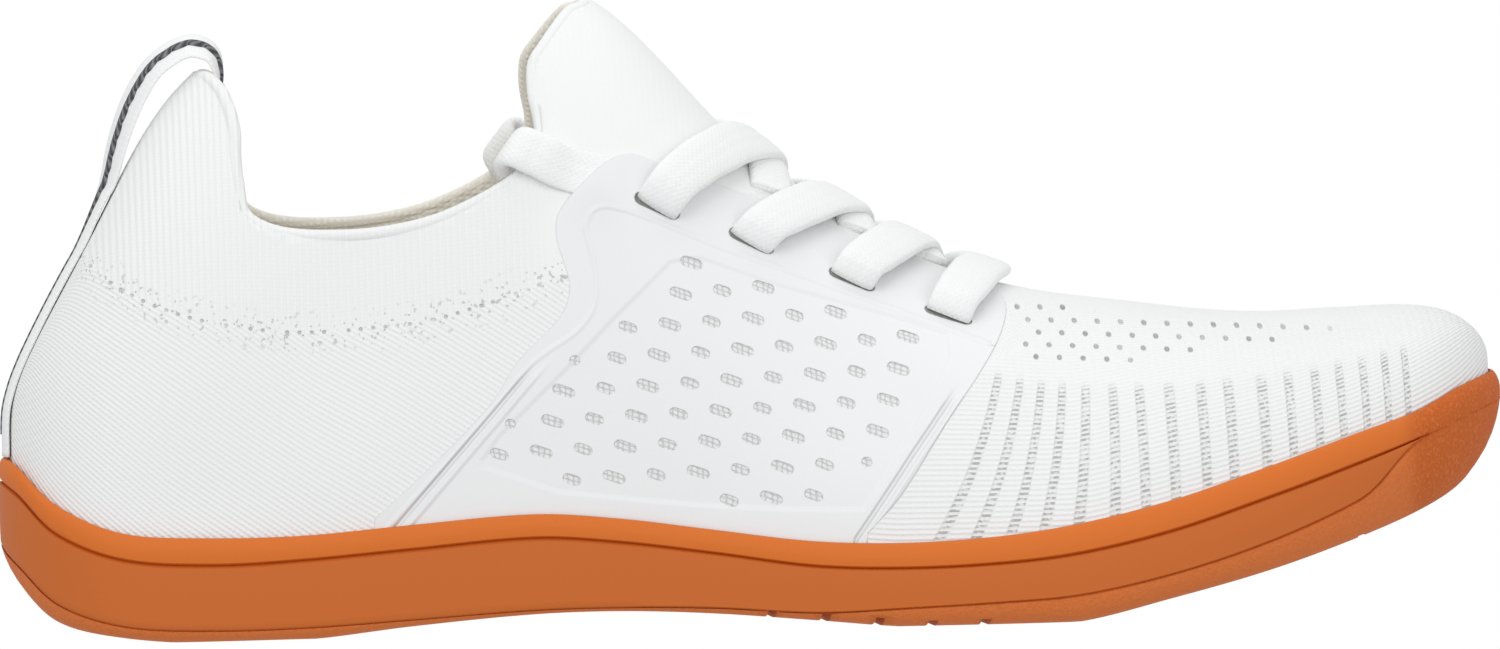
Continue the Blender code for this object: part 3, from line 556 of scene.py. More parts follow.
def cut(item, operation, tools):
    """One exact Boolean with one or several tools, which are then removed."""
    group = bpy.data.collections.new("tools")
    for tool in tools:
        for home in list(tool.users_collection):
            home.objects.unlink(tool)
        group.objects.link(tool)
    made = item.modifiers.new("cut", "BOOLEAN")
    made.operation, made.solver = operation, "EXACT"
    made.operand_type, made.collection = "COLLECTION", group
    bake(item)
    for tool in list(tools):
        bpy.data.objects.remove(tool, do_unlink=True)
    bpy.data.collections.remove(group)
    item.data.shade_smooth()


def finish_piece(item, slot, *nodes):
    """Let a piece ride with the shoe, and hide the nodes that it stands for; its slot argument is not used."""
    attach(item, "root")
    if nodes:
        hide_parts(*nodes)


def form_across(places):
    """For points near the form: the arc length up from the sole's edge on their own side, in millimetres."""
    stations, steps = 90, 60
    shares, turns = station_shares(stations), np.linspace(0, 1, steps + 1)
    arcs = []
    for side in (LATERAL, MEDIAL):
        grid = form(shares[:, None], side * (1 - turns)[None, :])
        pieces = np.linalg.norm(np.diff(grid, axis=1), axis=2)
        arcs.append(np.concatenate([np.zeros((len(shares), 1)), np.cumsum(pieces, axis=1)], axis=1))
    arcs[1] += arcs[0][:, -1:] - arcs[1][:, -1:]
    share = np.clip(share_at(places[:, 0]), 0, 1)
    _, outer, inner, crown, lean, full, base = section(share)
    medial = places[:, 1] > lean
    edge = np.where(medial, inner, outer)
    reach = np.clip((places[:, 1] - lean) / np.where(np.abs(edge - lean) < 0.5, 0.5, edge - lean), 0, 1)
    rise = np.clip((places[:, 2] - base) / (crown - base), 0, 1)
    turn = np.arctan2(rise ** (full / 2), reach ** (full / 2)) / (math.pi / 2)
    i = angle_of(share) / math.pi * stations
    low = np.clip(i.astype(int), 0, stations - 1)
    part = i - low
    found = np.zeros(len(places))
    for k, chosen in ((0, ~medial), (1, medial)):
        at = turn[chosen] * steps
        j = np.clip(at.astype(int), 0, steps - 1)
        f, a = at - j, low[chosen]
        row = [arcs[k][a + n, j] * (1 - f) + arcs[k][a + n, j + 1] * f for n in (0, 1)]
        found[chosen] = row[0] * (1 - part[chosen]) + row[1] * part[chosen]
    return found


def knit_fields(item):
    """Fields that place the knit's zones on the bootie."""
    places = places_of(item)
    side_view = places[:, [0, 2]]
    first = np.asarray(DOTS[0]) + (np.asarray(DOTS[0]) - DOTS[1]) * 3
    dots, dots_along = to_line(side_view, through([first, *DOTS], 4))
    lean = 0.62 * (1 - ease(172, 216, places[:, 0]))
    bottom = places[:, 0] - lean * np.maximum(places[:, 2] - sole_line("edge", places[:, 0]), 0)
    feet = (STRIPE_FEET[0] - 35, *STRIPE_FEET, STRIPE_FEET[-1] + 20)
    stripe = np.interp(bottom, feet, (-5, *range(len(STRIPE_FEET)), len(STRIPE_FEET) + 4))
    shift = side_view - PIN_START
    det = PIN_ACROSS[0] * PIN_DOWN[1] - PIN_ACROSS[1] * PIN_DOWN[0]
    pin_a = (shift[:, 0] * PIN_DOWN[1] - shift[:, 1] * PIN_DOWN[0]) / det
    pin_b = (shift[:, 1] * PIN_ACROSS[0] - shift[:, 0] * PIN_ACROSS[1]) / det
    holes = PIN_START + np.outer(np.round(pin_a), PIN_ACROSS) + np.outer(np.round(pin_b), PIN_DOWN)
    under_crown = section(share_at(holes[:, 0]))[3] - holes[:, 1]
    lay(
        item, along=places[:, 0], across=form_across(places), dots=dots, dots_along=dots_along, stripe=stripe,
        toe=to_line(side_view, TOE_TOP[::-1])[0], ahead=to_line(side_view, through(SEAM_FRONT, 4))[0],
        pins=np.minimum(in_area(holes, PINS), under_crown - 1.5), pin_a=pin_a, pin_b=pin_b,
        covered=in_area(side_view, PANEL_LINE), slots=slot_distance(side_view),
    )


def slot_distance(side_view):
    """How far points in x and z are from the middle line of the nearest lace slot."""
    reach = np.array([math.cos(SLOT_TILT), math.sin(SLOT_TILT)]) * (SLOT_WIDTH - SLOT_HEIGHT) / 2
    found = np.full(len(side_view), np.inf)
    for place in SLOTS:
        centre = np.array([place.along * LENGTH, place.up * TONGUE_HEIGHT])
        found = np.minimum(found, np.abs(to_line(side_view, (centre - reach, centre + reach))[0]))
    return found


PANEL_LINE = [(corner.along * LENGTH, corner.up * TONGUE_HEIGHT) for corner in PANEL]
foot_line = np.linspace(PANEL_LINE[-1][0], PANEL_LINE[0][0], 14)
PANEL_LINE += [(x, float(sole_line("edge", x)) - 1.0) for x in foot_line]
RIM_LINE = through([(row.along * LENGTH, row.up * row.size) for row in COLLAR], 8)


def knit_weave(look, along, across, collar, ahead):
    """Height of the yarns: ribs over the dotted seam, twill at the heel, courses at the toe, plain tongue."""
    def yarns(run, pitch, other, cross, depth):
        return look.times(look.wave(run, pitch), look.scaled(look.wave(other, cross), depth, 1 - depth))

    ribs = yarns(along, RIB, across, RIB_ROW, 0.25)
    twill = yarns(look.scaled(along, 0.72, across), TWILL, look.scaled(along, -1.5, across), TWILL_CROSS, 0.4)
    courses = yarns(across, COURSE, along, STITCH, 0.3)
    plain = look.times(look.step(*TONGUE_STARTS, along), collar, 0.85)
    return look.blend(plain, look.blend(collar, look.blend(ahead, twill, courses), ribs), 1.0)


def toe_stripes(look, across, toe):
    """The toe's open columns, and the uneven threads across them."""
    number = look.field("stripe")
    near = look.size(look.minus(look.calc("FRACT", look.plus(number, 0.5)), 0.5))
    column = look.times(
        look.step(0.20, 0.10, near), toe, look.step(-0.45, -0.35, number),
        look.step(LAST_STRIPE + 0.45, LAST_STRIPE + 0.35, number),
    )
    threads = look.scaled(look.step(0.38, 0.58, look.noise(1000.0, 1.0)), 0.65, 0.35)
    return column, look.times(column, look.step(0.35, 0.75, look.wave(across, COURSE)), threads)


def pinholes(look):
    """Rows of small holes, some fainter than others."""
    counts = [look.field(name) for name in ("pin_a", "pin_b")]
    a, b = (look.minus(count, look.calc("ROUND", count)) for count in counts)
    dx, dz = (look.scaled(a, PIN_ACROSS[k], look.times(b, PIN_DOWN[k])) for k in (0, 1))
    uneven = look.scaled(look.noise(150.0, 1.0), 1.2, 0.3)
    return look.times(look.step(0.58, 0.24, look.length(dx, dz)), look.step(0.0, 0.1, look.field("pins")), uneven)


def dotted_seam(look, line):
    """Dots on the seam under the collar, with smaller ones strewn about it."""
    beat = look.calc("FRACT", look.calc("DIVIDE", look.field("dots_along"), DOT_PITCH))
    beat = look.times(look.minus(beat, 0.5), DOT_PITCH)
    dots = look.times(look.step(0.42, 0.20, look.length(beat, line)), look.step(0.35, 0.55, look.noise(260.0, 1.0)))
    strewn = look.step(0.655, 0.69, look.noise(1150.0, 1.0))
    return look.calc("MAXIMUM", dots, look.times(strewn, look.step(5.5, 0.5, look.size(line)), 0.8))


def knit_look():
    look = Look("knit", (0.94, 0.94, 0.93), 0.95)
    along, across, line = (look.field(name) for name in ("along", "across", "dots"))
    ahead = look.step(-1.0, 1.0, look.field("ahead"))
    toe = look.times(look.step(-1.5, 1.5, look.field("toe")), ahead)
    weave = knit_weave(look, along, across, look.step(-1.0, 1.0, line), ahead)
    column, ladder = toe_stripes(look, across, toe)
    pins, spots = pinholes(look), dotted_seam(look, line)
    covered = look.step(0.5, 2.5, look.field("covered"))
    shifted = look.scaled(look.noise(420.0, 1.0), 1.1, along)
    loops = look.times(look.wave(shifted, 1.05), look.wave(look.scaled(shifted, 0.3, across), 0.95))
    look.paint(
        (0.94, 0.94, 0.93),
        # Painted shade: darker where the yarns dip between each other, more so at the toe.
        (look.times(look.minus(1.0, weave), look.scaled(toe, 0.10, 0.10)), (0.66, 0.66, 0.65)),
        # Painted shade in the openings of the toe's open columns: dark bars across them.
        (look.times(ladder, 0.85), (0.40, 0.40, 0.39)),
        # Painted shade in the pinholes; the seam's dots are dark as well.
        (look.calc("MAXIMUM", look.times(pins, 0.75), look.times(spots, 0.5)), (0.30, 0.30, 0.29)),
        # Painted shade on the knit under the panel, seen through its holes, darker still in the gaps of its mesh.
        (look.times(covered, 0.15), (0.45, 0.45, 0.44)),
        (look.times(covered, look.step(0.22, 0.04, loops), 0.38), (0.28, 0.28, 0.27)),
        # Painted shadow: the knit is dark in and round the lace slots.
        (look.times(look.step(1.8, 1.2, look.field("slots")), 0.80), (0.20, 0.19, 0.17)),
    )
    fibres = look.noise(2600.0, 2.0)
    relief = ((weave, 0.16), (fibres, 0.05), (column, -0.22), (ladder, -0.15), (pins, -0.5), (spots, -0.4))
    look.bump(look.weighted(*relief), 0.8)
    return look


def lining_look():
    """The inner face of the knit, lit by a faint painted glow (emission) that stands in for light coming through the
    thin wall.
    """
    # Painted light: a faint glow that lightens the shaded inside of the shoe.
    painted_glow_colour = (1.0, 0.97, 0.90, 1.0)
    look = Look("lining", (0.94, 0.92, 0.86), 0.95, Emission_Color=painted_glow_colour, Emission_Strength=0.06)
    loops = look.times(look.wave(look.field("along"), 1.3), look.wave(look.field("across"), 1.1))
    # Painted shade: the lining is darker between its loops, where the yarns dip.
    look.paint((0.86, 0.82, 0.72), (loops, (0.97, 0.95, 0.88)))
    look.bump(look.times(loops, 0.15))
    return look


def bootie(knit, lining):
    """The knitted upper: outer wall and lining, cut at the collar; the round folded rim is made by rim_roll."""
    shares, turns = station_shares(260), np.linspace(-1, 1, 125)
    points = form_grid(shares, turns, soft_relief)
    item = make_object("knit_bootie", points, grid_faces(len(shares), len(turns)), (knit, lining))
    clean(item)
    thicken(item, WALL, -1, material_offset=1, material_offset_rim=1)
    over = 1.5 * TONGUE_HEIGHT
    outline = [*RIM_LINE, (RIM_LINE[-1][0], over), (RIM_LINE[0][0], over)]
    cut(item, "DIFFERENCE", [cutter("collar_tool", outline, -BALL_WIDTH, BALL_WIDTH)])
    knit_fields(item)
    finish_piece(item, "knit", "upper")


def soft_relief(points):
    """Low waves of the empty knit, millimetres out from the form."""
    x, y, z = points[..., 0], points[..., 1], points[..., 2]
    side = 0.15 - 0.85 * np.tanh(y / 10)
    low = ease(12, 30, z) * ease(4, 20, x) * (1 - ease(262, 280, x))
    wave = 0.35 * np.sin(x / 13.0 + z / 17.0 + side) + 0.25 * np.sin(x / 7.9 - z / 11.0 + 2 * side)
    return low * wave * (1 - 0.7 * ease(66, 84, x) * (1 - ease(172, 190, x)))


def rim_roll(knit, lining):
    """The folded edge round the collar, over the cut wall."""
    crown = section(share_at(RIM_LINE[:, 0]))[3]
    line = RIM_LINE[RIM_LINE[:, 1] < crown - 0.2]
    sides = [on_form(line[:, 0], side, line[:, 1], -WALL / 2) for side in (LATERAL, MEDIAL)]
    path, outward = (through(np.vstack([a, b[::-1], a[:1]]), 2)[:-1] for a, b in zip(*sides))
    outward = unit(outward)
    tangent = unit(np.roll(path, -1, axis=0) - np.roll(path, 1, axis=0))
    aside = unit(np.cross(tangent, outward))
    outward = np.cross(aside, tangent)
    angles = np.linspace(0, 2 * math.pi, 12, endpoint=False)
    radius = WALL / 2 + 0.12
    rings = path[:, None] + radius * (
        outward[:, None] * np.cos(angles)[None, :, None] + aside[:, None] * np.sin(angles)[None, :, None] * 1.1
    )
    item = make_object("collar_edge", rings, grid_faces(len(path), 12, True, True), (knit, lining))
    inner = [3 <= k % 12 < 9 for k in range(len(item.data.polygons))]
    item.data.polygons.foreach_set("material_index", np.array(inner, np.int32))
    clean(item, 0)
    knit_fields(item)
    finish_piece(item, "knit")


def panel_look():
    look = Look("panel", (0.885, 0.885, 0.885), 0.42, Coat_Weight=0.15, Coat_Roughness=0.35)
    bevel = look.add("ShaderNodeBevel", samples=4)
    bevel.inputs["Radius"].default_value = 0.00035

    def line(name, width):
        return look.step(width, 0.0, look.size(look.field(name)))

    def seam(name, fades):
        both = look.weighted((line(name, 0.7), -0.5), (line(name + "_inner", 0.9), 0.35))
        return look.times(both, look.step(*fades, look.field("height")))

    recess = look.step(-0.5, 0.7, look.field("recess"))
    relief = look.weighted((recess, -0.30), (line("emboss", 0.8), 0.18), (look.noise(900.0, 2.0), 0.03))
    look.bump(look.plus(relief, seam("rear", (52, 46)), seam("front", (45, 40))), 0.9, bevel.outputs[0])
    return look


def pill(centre, length, height, tilt, steps=5):
    """Outline of a tilted slot with round ends."""
    points = []
    for end, start in ((1, -math.pi / 2), (-1, math.pi / 2)):
        for k in range(steps + 1):
            angle = start + math.pi * k / steps
            x = end * (length - height) / 2 + height / 2 * math.cos(angle)
            z = height / 2 * math.sin(angle)
            points.append((
                centre[0] + x * math.cos(tilt) - z * math.sin(tilt),
                centre[1] + x * math.sin(tilt) + z * math.cos(tilt),
            ))
    return points


def perforations():
    outlines = []
    for r, row in enumerate(HOLE_ROWS):
        for column in range(row.first, row.last + 1):
            x = HOLE_START.along * LENGTH + column * HOLE_STEP[0] + r * HOLE_ROW_STEP[0]
            z = HOLE_START.up * TONGUE_HEIGHT + column * HOLE_STEP[1] + r * HOLE_ROW_STEP[1]
            small = (column == row.first and row.small_first) or (column == row.last and row.small_last)
            length = HOLE_END if small else (HOLE_SHORT if column % 2 else HOLE_LONG)
            outlines.append(pill((x, z), length, min(HOLE_HEIGHT, length), HOLE_TILT))
    return outlines


def panel_relief(points):
    """Millimetres out from the form: the knit's waves, and the bulge over the lace end behind the panel."""
    over_lace = np.exp(-((points[..., 0] - 113.5) / 7) ** 2 - ((points[..., 2] - 84.5) / 7) ** 2)
    return 0.12 + soft_relief(points) + 1.3 * over_lace


def side_panel(name, side, look):
    """One smooth moulded panel on the knit, with its slots and perforations."""
    shares = np.linspace(*share_at(PANEL_SPAN), 190)
    turns = np.linspace(min(side, 0), max(side, 0), 124)
    turns = turns[np.abs(turns) > 0.02]
    points = form_grid(shares, turns, panel_relief)
    item = make_object(name, points, grid_faces(len(shares), len(turns)), (look,))
    thicken(item, PANEL_THICK, 1, use_even_offset=True)
    reach = sorted((side * BALL_WIDTH, side * 1.0))
    outline = [*through(PANEL_LINE[:len(PANEL)], 3), *PANEL_LINE[len(PANEL):]]
    cut(item, "INTERSECT", [cutter("outline_tool", outline, *reach)])
    tools = [cutter(f"hole_tool_{k}", hole, *reach) for k, hole in enumerate(perforations())]
    tools += [slot_tool(k, place, side) for k, place in enumerate(SLOTS)]
    cut(item, "DIFFERENCE", tools)
    places = places_of(item)[:, [0, 2]]
    emboss, rear, front = (to_line(places, line)[0] for line in (through(EMBOSS, 3), SEAM_REAR, SEAM_FRONT))
    lay(
        item, emboss=emboss, rear=rear, front=front, height=places[:, 1], recess=in_area(places, RECESS),
        rear_inner=rear - SEAM_APART, front_inner=front - SEAM_APART,
    )
    item.data.set_sharp_from_angle(angle=math.radians(50))
    finish_piece(item, "panel_white", "overlay_lateral" if side == LATERAL else "overlay_medial")


def slot_tool(k, place, side):
    """A pill-shaped punch, square to the panel."""
    centre, normal = on_form(place.along * LENGTH, side, place.up * TONGUE_HEIGHT, 0.0)
    along = slanted(SLOT_TILT, normal)
    up = np.cross(normal, along)
    outline = pill((0, 0), SLOT_WIDTH, SLOT_HEIGHT, 0.0)
    ends = ([centre + along * a + up * b + normal * out for a, b in outline] for out in SLOT_PUNCH)
    return prism(f"slot_tool_{k}", *ends)


def ribbon(path, facing, width, thick, steps=16, skew=None, cup=0.0):
    """Points and faces of a soft flat strip along a path, and its fields along and across.

    skew is a direction and a share for each point, which turn the strip's ends to the slots. cup bends the
    strip round what it lies on, as one over the radius.
    """
    path, facing = np.asarray(path, float), np.asarray(facing, float)
    width, thick, cup = (np.broadcast_to(np.asarray(value, float), len(path)) for value in (width, thick, cup))
    tangent = unit(np.gradient(path, axis=0))
    across = unit(np.cross(tangent, facing))
    facing = np.cross(across, tangent)
    if skew is not None:
        direction, share = skew
        direction = direction * np.sign((across * direction).sum(axis=1, keepdims=True))
        across = unit(across * (1 - share[:, None]) + direction * share[:, None])
    angles = np.linspace(0, 2 * math.pi, steps, endpoint=False)
    a = np.sign(np.cos(angles)) * np.abs(np.cos(angles)) ** 0.55 / 2
    b = np.sign(np.sin(angles)) * np.abs(np.sin(angles)) ** 0.8 / 2
    aside = a[None] * width[:, None]
    lift = b[None] * thick[:, None] - aside ** 2 * cup[:, None] / 2
    rings = path[:, None] + across[:, None] * aside[..., None] + facing[:, None] * lift[..., None]
    faces = grid_faces(len(path), steps, False, True)
    faces += [tuple(range(steps))[::-1], tuple(range((len(path) - 1) * steps, len(path) * steps))]
    return rings.reshape(-1, 3), faces, np.repeat(run_along(path), steps), aside.ravel()


def join_strips(name, strips, looks):
    points, faces, along, aside = [], [], [], []
    for rings, quads, run, wide in strips:
        faces += [tuple(i + sum(len(p) for p in points) for i in quad) for quad in quads]
        points.append(rings)
        along.append(run)
        aside.append(wide)
    item = make_object(name, np.vstack(points), faces, looks)
    clean(item, 0)
    lay(item, run=np.concatenate(along), wide=np.concatenate(aside))
    return item


def lace_look():
    look = Look("lace", (0.96, 0.96, 0.955), 0.95)
    wide = look.field("wide")
    lane = look.calc("PINGPONG", look.plus(wide, 20.0), LACE_LANE / 2)
    slope = look.scaled(look.size(look.minus(lane, LACE_LANE / 4)), 1.6, look.field("run"))
    plait = look.wave(slope, 1.25)
    look.bump(look.weighted((plait, 0.08), (look.wave(wide, LACE_LANE), 0.05), (look.noise(1500.0), 0.05)), 0.7)
    # Painted shade: darker between the plait's strands.
    look.paint((0.96, 0.96, 0.955), (look.times(look.minus(1.0, plait), 0.08), (0.7, 0.7, 0.69)))
    return look


# Each crossing's slot, the x of its strips on the ridge and at their far end, how far down that end is.
STRIPS = table(Strip, (0, 145.0, 147.0, 0.85), (1, 161.0, 163.5, 0.85), (2, 174.0, 176.5, 0.75))
BAR_RIDGE = 187.5
# How a strip leaves its slot and how the bar comes down to its other one: share of the way, share of the run.
LACE_RISES = ((0.10, 0.12), (0.22, 0.28), (0.50, 0.60))
LACE_DROPS = ((0.75, 0.60), (0.89, 0.28), (0.95, 0.12))
# The throat's edge on the panel, in x and z.
THROAT = ((120.1, 88.9), (142.5, 80.0), (161.7, 72.0), (179.3, 64.7))


def strip(slot, side, ridge, end_x, end_turn, low, drop):
    """One lace strip from its slot over the instep; drop says that it ends in a slot of the other side."""
    start_x, start_z = slot.along * LENGTH, slot.up * TONGUE_HEIGHT
    start_turn = float(turn_at(share_at(start_x), side, start_z))
    top = start_turn / (start_turn - end_turn)
    t = np.unique(np.concatenate([[0, 0.012, 0.03, 0.06], np.linspace(0.09, 0.94, 26), [0.97, 0.988, 1]]))
    run = ridge - start_x
    knots = [(0, start_x), *((at * top, start_x + part * run) for at, part in LACE_RISES), (top, ridge)]
    on_panel = PANEL_THICK + LACE_THICK / 2 + 0.2
    lifts = [(0, 0.0), (0.02, on_panel - 0.4), (0.06, on_panel + 0.3), (0.28, on_panel), (top, low + LACE_THICK / 2)]
    if drop:
        knots += [(at, end_x + part * run) for at, part in LACE_DROPS]
        lifts += [(0.72, on_panel), (0.94, on_panel + 0.3), (0.98, on_panel - 0.4)]
    knots.append((1, end_x))
    lifts.append((1, 0.3))
    turn = start_turn + (end_turn - start_turn) * t
    path, normal = over_form(smooth(*zip(*knots), t), turn, np.interp(t, *zip(*lifts)))
    width = LACE_WIDTH * (1 - 0.10 * (1 - ease(0, 0.15, t)) - (0.10 * ease(0.85, 1, t) if drop else 0))
    thick = LACE_THICK * (1 - 0.25 * (t / top) * (0 if drop else 1)).clip(0.6, 1)
    share = 1 - ease(0.02, 0.60 * top, t) + (ease(1 - 0.60 * top, 0.98, t) if drop else 0)
    return ribbon(path, normal, width, thick, skew=(slanted(LACE_TILT, normal), share))


def laces(look):
    """Three crossings, each of two strips, and the front bar."""
    for k, row in enumerate(STRIPS):
        strips = []
        throat = np.interp(row.far_x, *zip(*THROAT))
        for side, low in ((LATERAL, 1.2), (MEDIAL, 0.0)):
            edge = float(turn_at(share_at(row.far_x), -side, throat))
            strips.append(strip(SLOTS[row.slot], side, row.ridge, row.far_x, row.far * edge, low, False))
        finish_piece(join_strips(f"lace_cross_{k + 1}", strips, (look,)), "lace_white", f"lace_crossing_{k + 1}")
    last = SLOTS[-1]
    x = last.along * LENGTH
    far_turn = float(turn_at(share_at(x), MEDIAL, last.up * TONGUE_HEIGHT))
    bar = strip(last, LATERAL, BAR_RIDGE, x, far_turn, 0.9, True)
    finish_piece(join_strips("lace_front", [bar], (look,)), "lace_white", "lace_bar")


def lace_end(name, side, look, node):
    """A tucked lace end: from the panel's corner over the collar's rim and down inside."""
    rows = [(row.along * LENGTH, row.up * TONGUE_HEIGHT, math.radians(row.fold)) for row in LACE_END]
    rows = through([*LACE_END_START, *rows], 5)
    middle, normal = on_form(rows[:, 0], side, rows[:, 1], -WALL / 2)
    away = np.array([-math.sin(OVER_RIM), 0, math.cos(OVER_RIM)])
    facing = normal * np.cos(rows[:, 2:]) + away * np.sin(rows[:, 2:])
    free = ease(110, 103, rows[:, 0])
    thick = LACE_THICK * (0.32 + 0.68 * free)
    path = middle + facing * ((WALL + thick) / 2 + 0.05 + 0.30 * free)[:, None]
    item = join_strips(name, [ribbon(path, facing, LACE_END_WIDTH, thick)], (look,))
    finish_piece(item, "lace_white", node)


def loop_path():
    """Middle line and facing of the pull tape: up inside the heel tab, over and down behind it."""
    inside = -(WALL + GAP + 0.9 + TAPE_THICK / 2)
    outside = GAP + TAPE_THICK / 2
    rows = []
    for along in (0.098, 0.110, 0.122, 0.134):
        point, normal = over_form(along * LENGTH, 0.0, inside)
        rows.append((*point, *-normal))
    for k, row in enumerate(LOOP):
        near = [LOOP[max(k - 1, 0)], LOOP[min(k + 1, len(LOOP) - 1)]]
        tangent = np.array([(near[1].along - near[0].along) * LENGTH, 0, (near[1].up - near[0].up) * TAB_HEIGHT])
        normal = unit(np.array([tangent[2], 0, -tangent[0]]))
        lean = math.radians(row.lean)
        normal = normal * math.cos(lean) + np.array([0, -math.sin(lean), 0])
        rows.append((row.along * LENGTH, 0, row.up * TAB_HEIGHT, *normal))
    for share in (0.052, 0.045, 0.038, 0.029, 0.019, 0.011, 0.005, 0.001):
        point, normal = over_form(FORM_BACK + share * FORM_LENGTH, 0.0, outside)
        rows.append((*point, *normal))
    rows.append((FORM_BACK - outside, 0, float(sole_line("edge", 0.0)) - 1.0, -1, 0, 0))
    line = through(np.array(rows, float), 8)
    return line[:, :3], unit(line[:, 3:])


def braid_look():
    look = Look("braid", (0.10, 0.10, 0.11), 0.7)
    links = look.wave(look.scaled(look.field("wide"), 0.9, look.field("run")), 1.7)
    # Painted highlight: the dark braid is lighter on the raised crests of its links.
    look.paint((0.045, 0.045, 0.05), (links, (0.24, 0.24, 0.25)))
    look.bump(look.times(links, 0.4))
    return look


def pull_loop(look, dark):
    """The white tape and the dark braid on it, which snakes where the tape is free."""
    path, facing = loop_path()
    seat = ease(84, 74, path[:, 2]) * ease(30, 22, path[:, 0])
    item = join_strips("pull_tape", [ribbon(path, facing, TAPE_WIDTH, TAPE_THICK, cup=0.045 * seat)], (look,))
    finish_piece(item, "lace_white", "pull_loop")
    shown = slice(28, len(path) - 4)
    line = path[shown] + facing[shown] * (TAPE_THICK / 2 + 0.05)
    seat = seat[shown]
    line[:, 1] += 0.35 * (1 - seat) * np.sin(2 * math.pi * run_along(line) / 3.4)
    braid = join_strips("pull_braid", [ribbon(line, facing[shown], 2.2 - 1.2 * seat, 1.0 - 0.6 * seat, 8)], (dark,))
    finish_piece(braid, "lace_white")


def gum_look():
    look = Look("gum", (0.60, 0.165, 0.040), 0.60, Specular_IOR_Level=0.25)
    pebbles = look.field("pebble")
    fine, coarse = (look.noise(scale, 2.0, 0.5) for scale in (1500.0, 700.0))
    look.bump(look.weighted((look.times(pebbles, look.plus(fine, coarse)), 0.35), (fine, 0.02)), 0.8)
    look.set("Roughness", look.scaled(pebbles, 0.15, 0.58))
    look.paint(
        (0.62, 0.150, 0.026),
        # Painted light: the sole's top band is lighter, where light from above falls on it.
        (look.field("band"), (0.72, 0.170, 0.022)),
        (look.times(pebbles, 0.8), (0.60, 0.120, 0.014)),
        (look.field("tread"), (0.72, 0.18, 0.040)),
        (look.times(pebbles, look.step(0.50, 0.66, fine), 0.5), (0.76, 0.21, 0.055)),
        # Painted shadow in the sunk groove under the top band.
        (look.field("sunk"), (0.50, 0.095, 0.008)),
    )
    return look


# Rings of the sole's side between two lines: the share between them, how far out, how sunk.
SIDE = (
    ("under", "line", (
        (0, -1.50, 0), (0.07, -0.80, 0), (0.16, -0.22, 0), (0.32, 0.28, 0), (0.52, 0.62, 0), (0.74, 0.82, 0),
        (0.93, 0.92, 0),
    )),
    ("line", "groove", (
        (0, 0.95, 0.5), (0.035, 0.96, 0), (0.12, 0.97, 0), (0.30, 0.99, 0), (0.50, 1.00, 0), (0.70, 0.99, 0),
        (0.86, 0.97, 0), (0.955, 0.95, 0),
    )),
    ("groove", "edge", (
        (0, 0.94, 1.0), (0.10, 0.97, 0), (0.22, 1.00, 0), (0.42, 0.98, 0), (0.60, 0.90, 0), (0.77, 0.76, 0),
        (0.90, 0.58, 0), (0.97, 0.42, 0), (1, 0.24, 0),
    )),
)


def ring_around(shares, height_of, out_of):
    """A loop round the form, heel to toe on the outer side and back."""
    both = np.concatenate([shares, shares[-2:0:-1]])
    side = np.concatenate([np.full(len(shares), LATERAL), np.full(len(shares) - 2, MEDIAL)])
    x = FORM_BACK + both * FORM_LENGTH
    crown = section(both)[3]
    height = np.minimum(height_of(x), crown)
    base = form(both, turn_at(both, side, height))[:, :2]
    tangent = unit(np.roll(base, -1, axis=0) - np.roll(base, 1, axis=0))
    moved = base + np.stack([tangent[:, 1], -tangent[:, 0]], axis=1) * out_of(base[:, 0])[:, None]
    return np.column_stack([moved, height_of(moved[:, 0])])


def sole_rings():
    """Rings of the gum sole, up its side and down inside the cup, and the fields of its looks on them."""
    shares = station_shares(170)
    low, high = (share * LENGTH for share in GROOVES_FADE)
    rings, fields = [], {"band": [], "sunk": [], "pebble": [], "tread": []}
    for base, top, share, out, deep in ((base, top, *row) for base, top, rows in SIDE for row in rows):
        rings.append(ring_around(
            shares,
            lambda x: side_line(base, x) + (side_line(top, x) - side_line(base, x)) * share,
            lambda x: out * SOLE_SIDE - deep * GROOVE_DEEP * np.clip((high - x) / (high - low), 0, 1),
        ))
        x, under = rings[-1][:, 0], float(base == "under")
        toe = ease(*PEBBLES_START, x)
        # band marks where the top band gets its painted light.
        fields["band"].append(float(base == "groove") * (1 - ease(*BAND_FADES, x)))
        # sunk marks where the groove gets its painted shadow.
        fields["sunk"].append(deep * (1 - ease(low, high, x)))
        fields["pebble"].append(np.maximum(toe, under))
        fields["tread"].append((1 - toe) * under)
    for height in (
        lambda x: sole_line("edge", x),
        lambda x: (sole_line("edge", x) + sole_line("under", x) + SOLE_FLOOR) / 2,
        lambda x: sole_line("under", x) + SOLE_FLOOR,
    ):
        rings.append(ring_around(shares, height, lambda x: np.full(len(x), GAP)))
        for values in fields.values():
            values.append(np.zeros(len(rings[-1])))
    return rings, fields


def cup_sole(look):
    """The gum cup sole: its rings joined, closed underneath and inside the cup, with bars cut in the tread."""
    rings, fields = sole_rings()
    count = len(rings[0])
    faces = grid_faces(len(rings), count, False, True)
    for start in (0, (len(rings) - 1) * count):
        half = count // 2
        faces.append((start, start + 1, start + count - 1))
        faces += [(start + i, start + i + 1, start + count - i - 1, start + count - i) for i in range(1, half - 1)]
        faces.append((start + half - 1, start + half, start + half + 1))
    item = make_object("cup_sole", np.vstack(rings), faces, (look,))
    lay(item, **{name: np.concatenate(values) for name, values in fields.items()})
    clean(item, 0)
    cut(item, "DIFFERENCE", tread_tools())
    item.data.set_sharp_from_angle(angle=math.radians(40))
    finish_piece(item, "gum_rubber", "outsole")


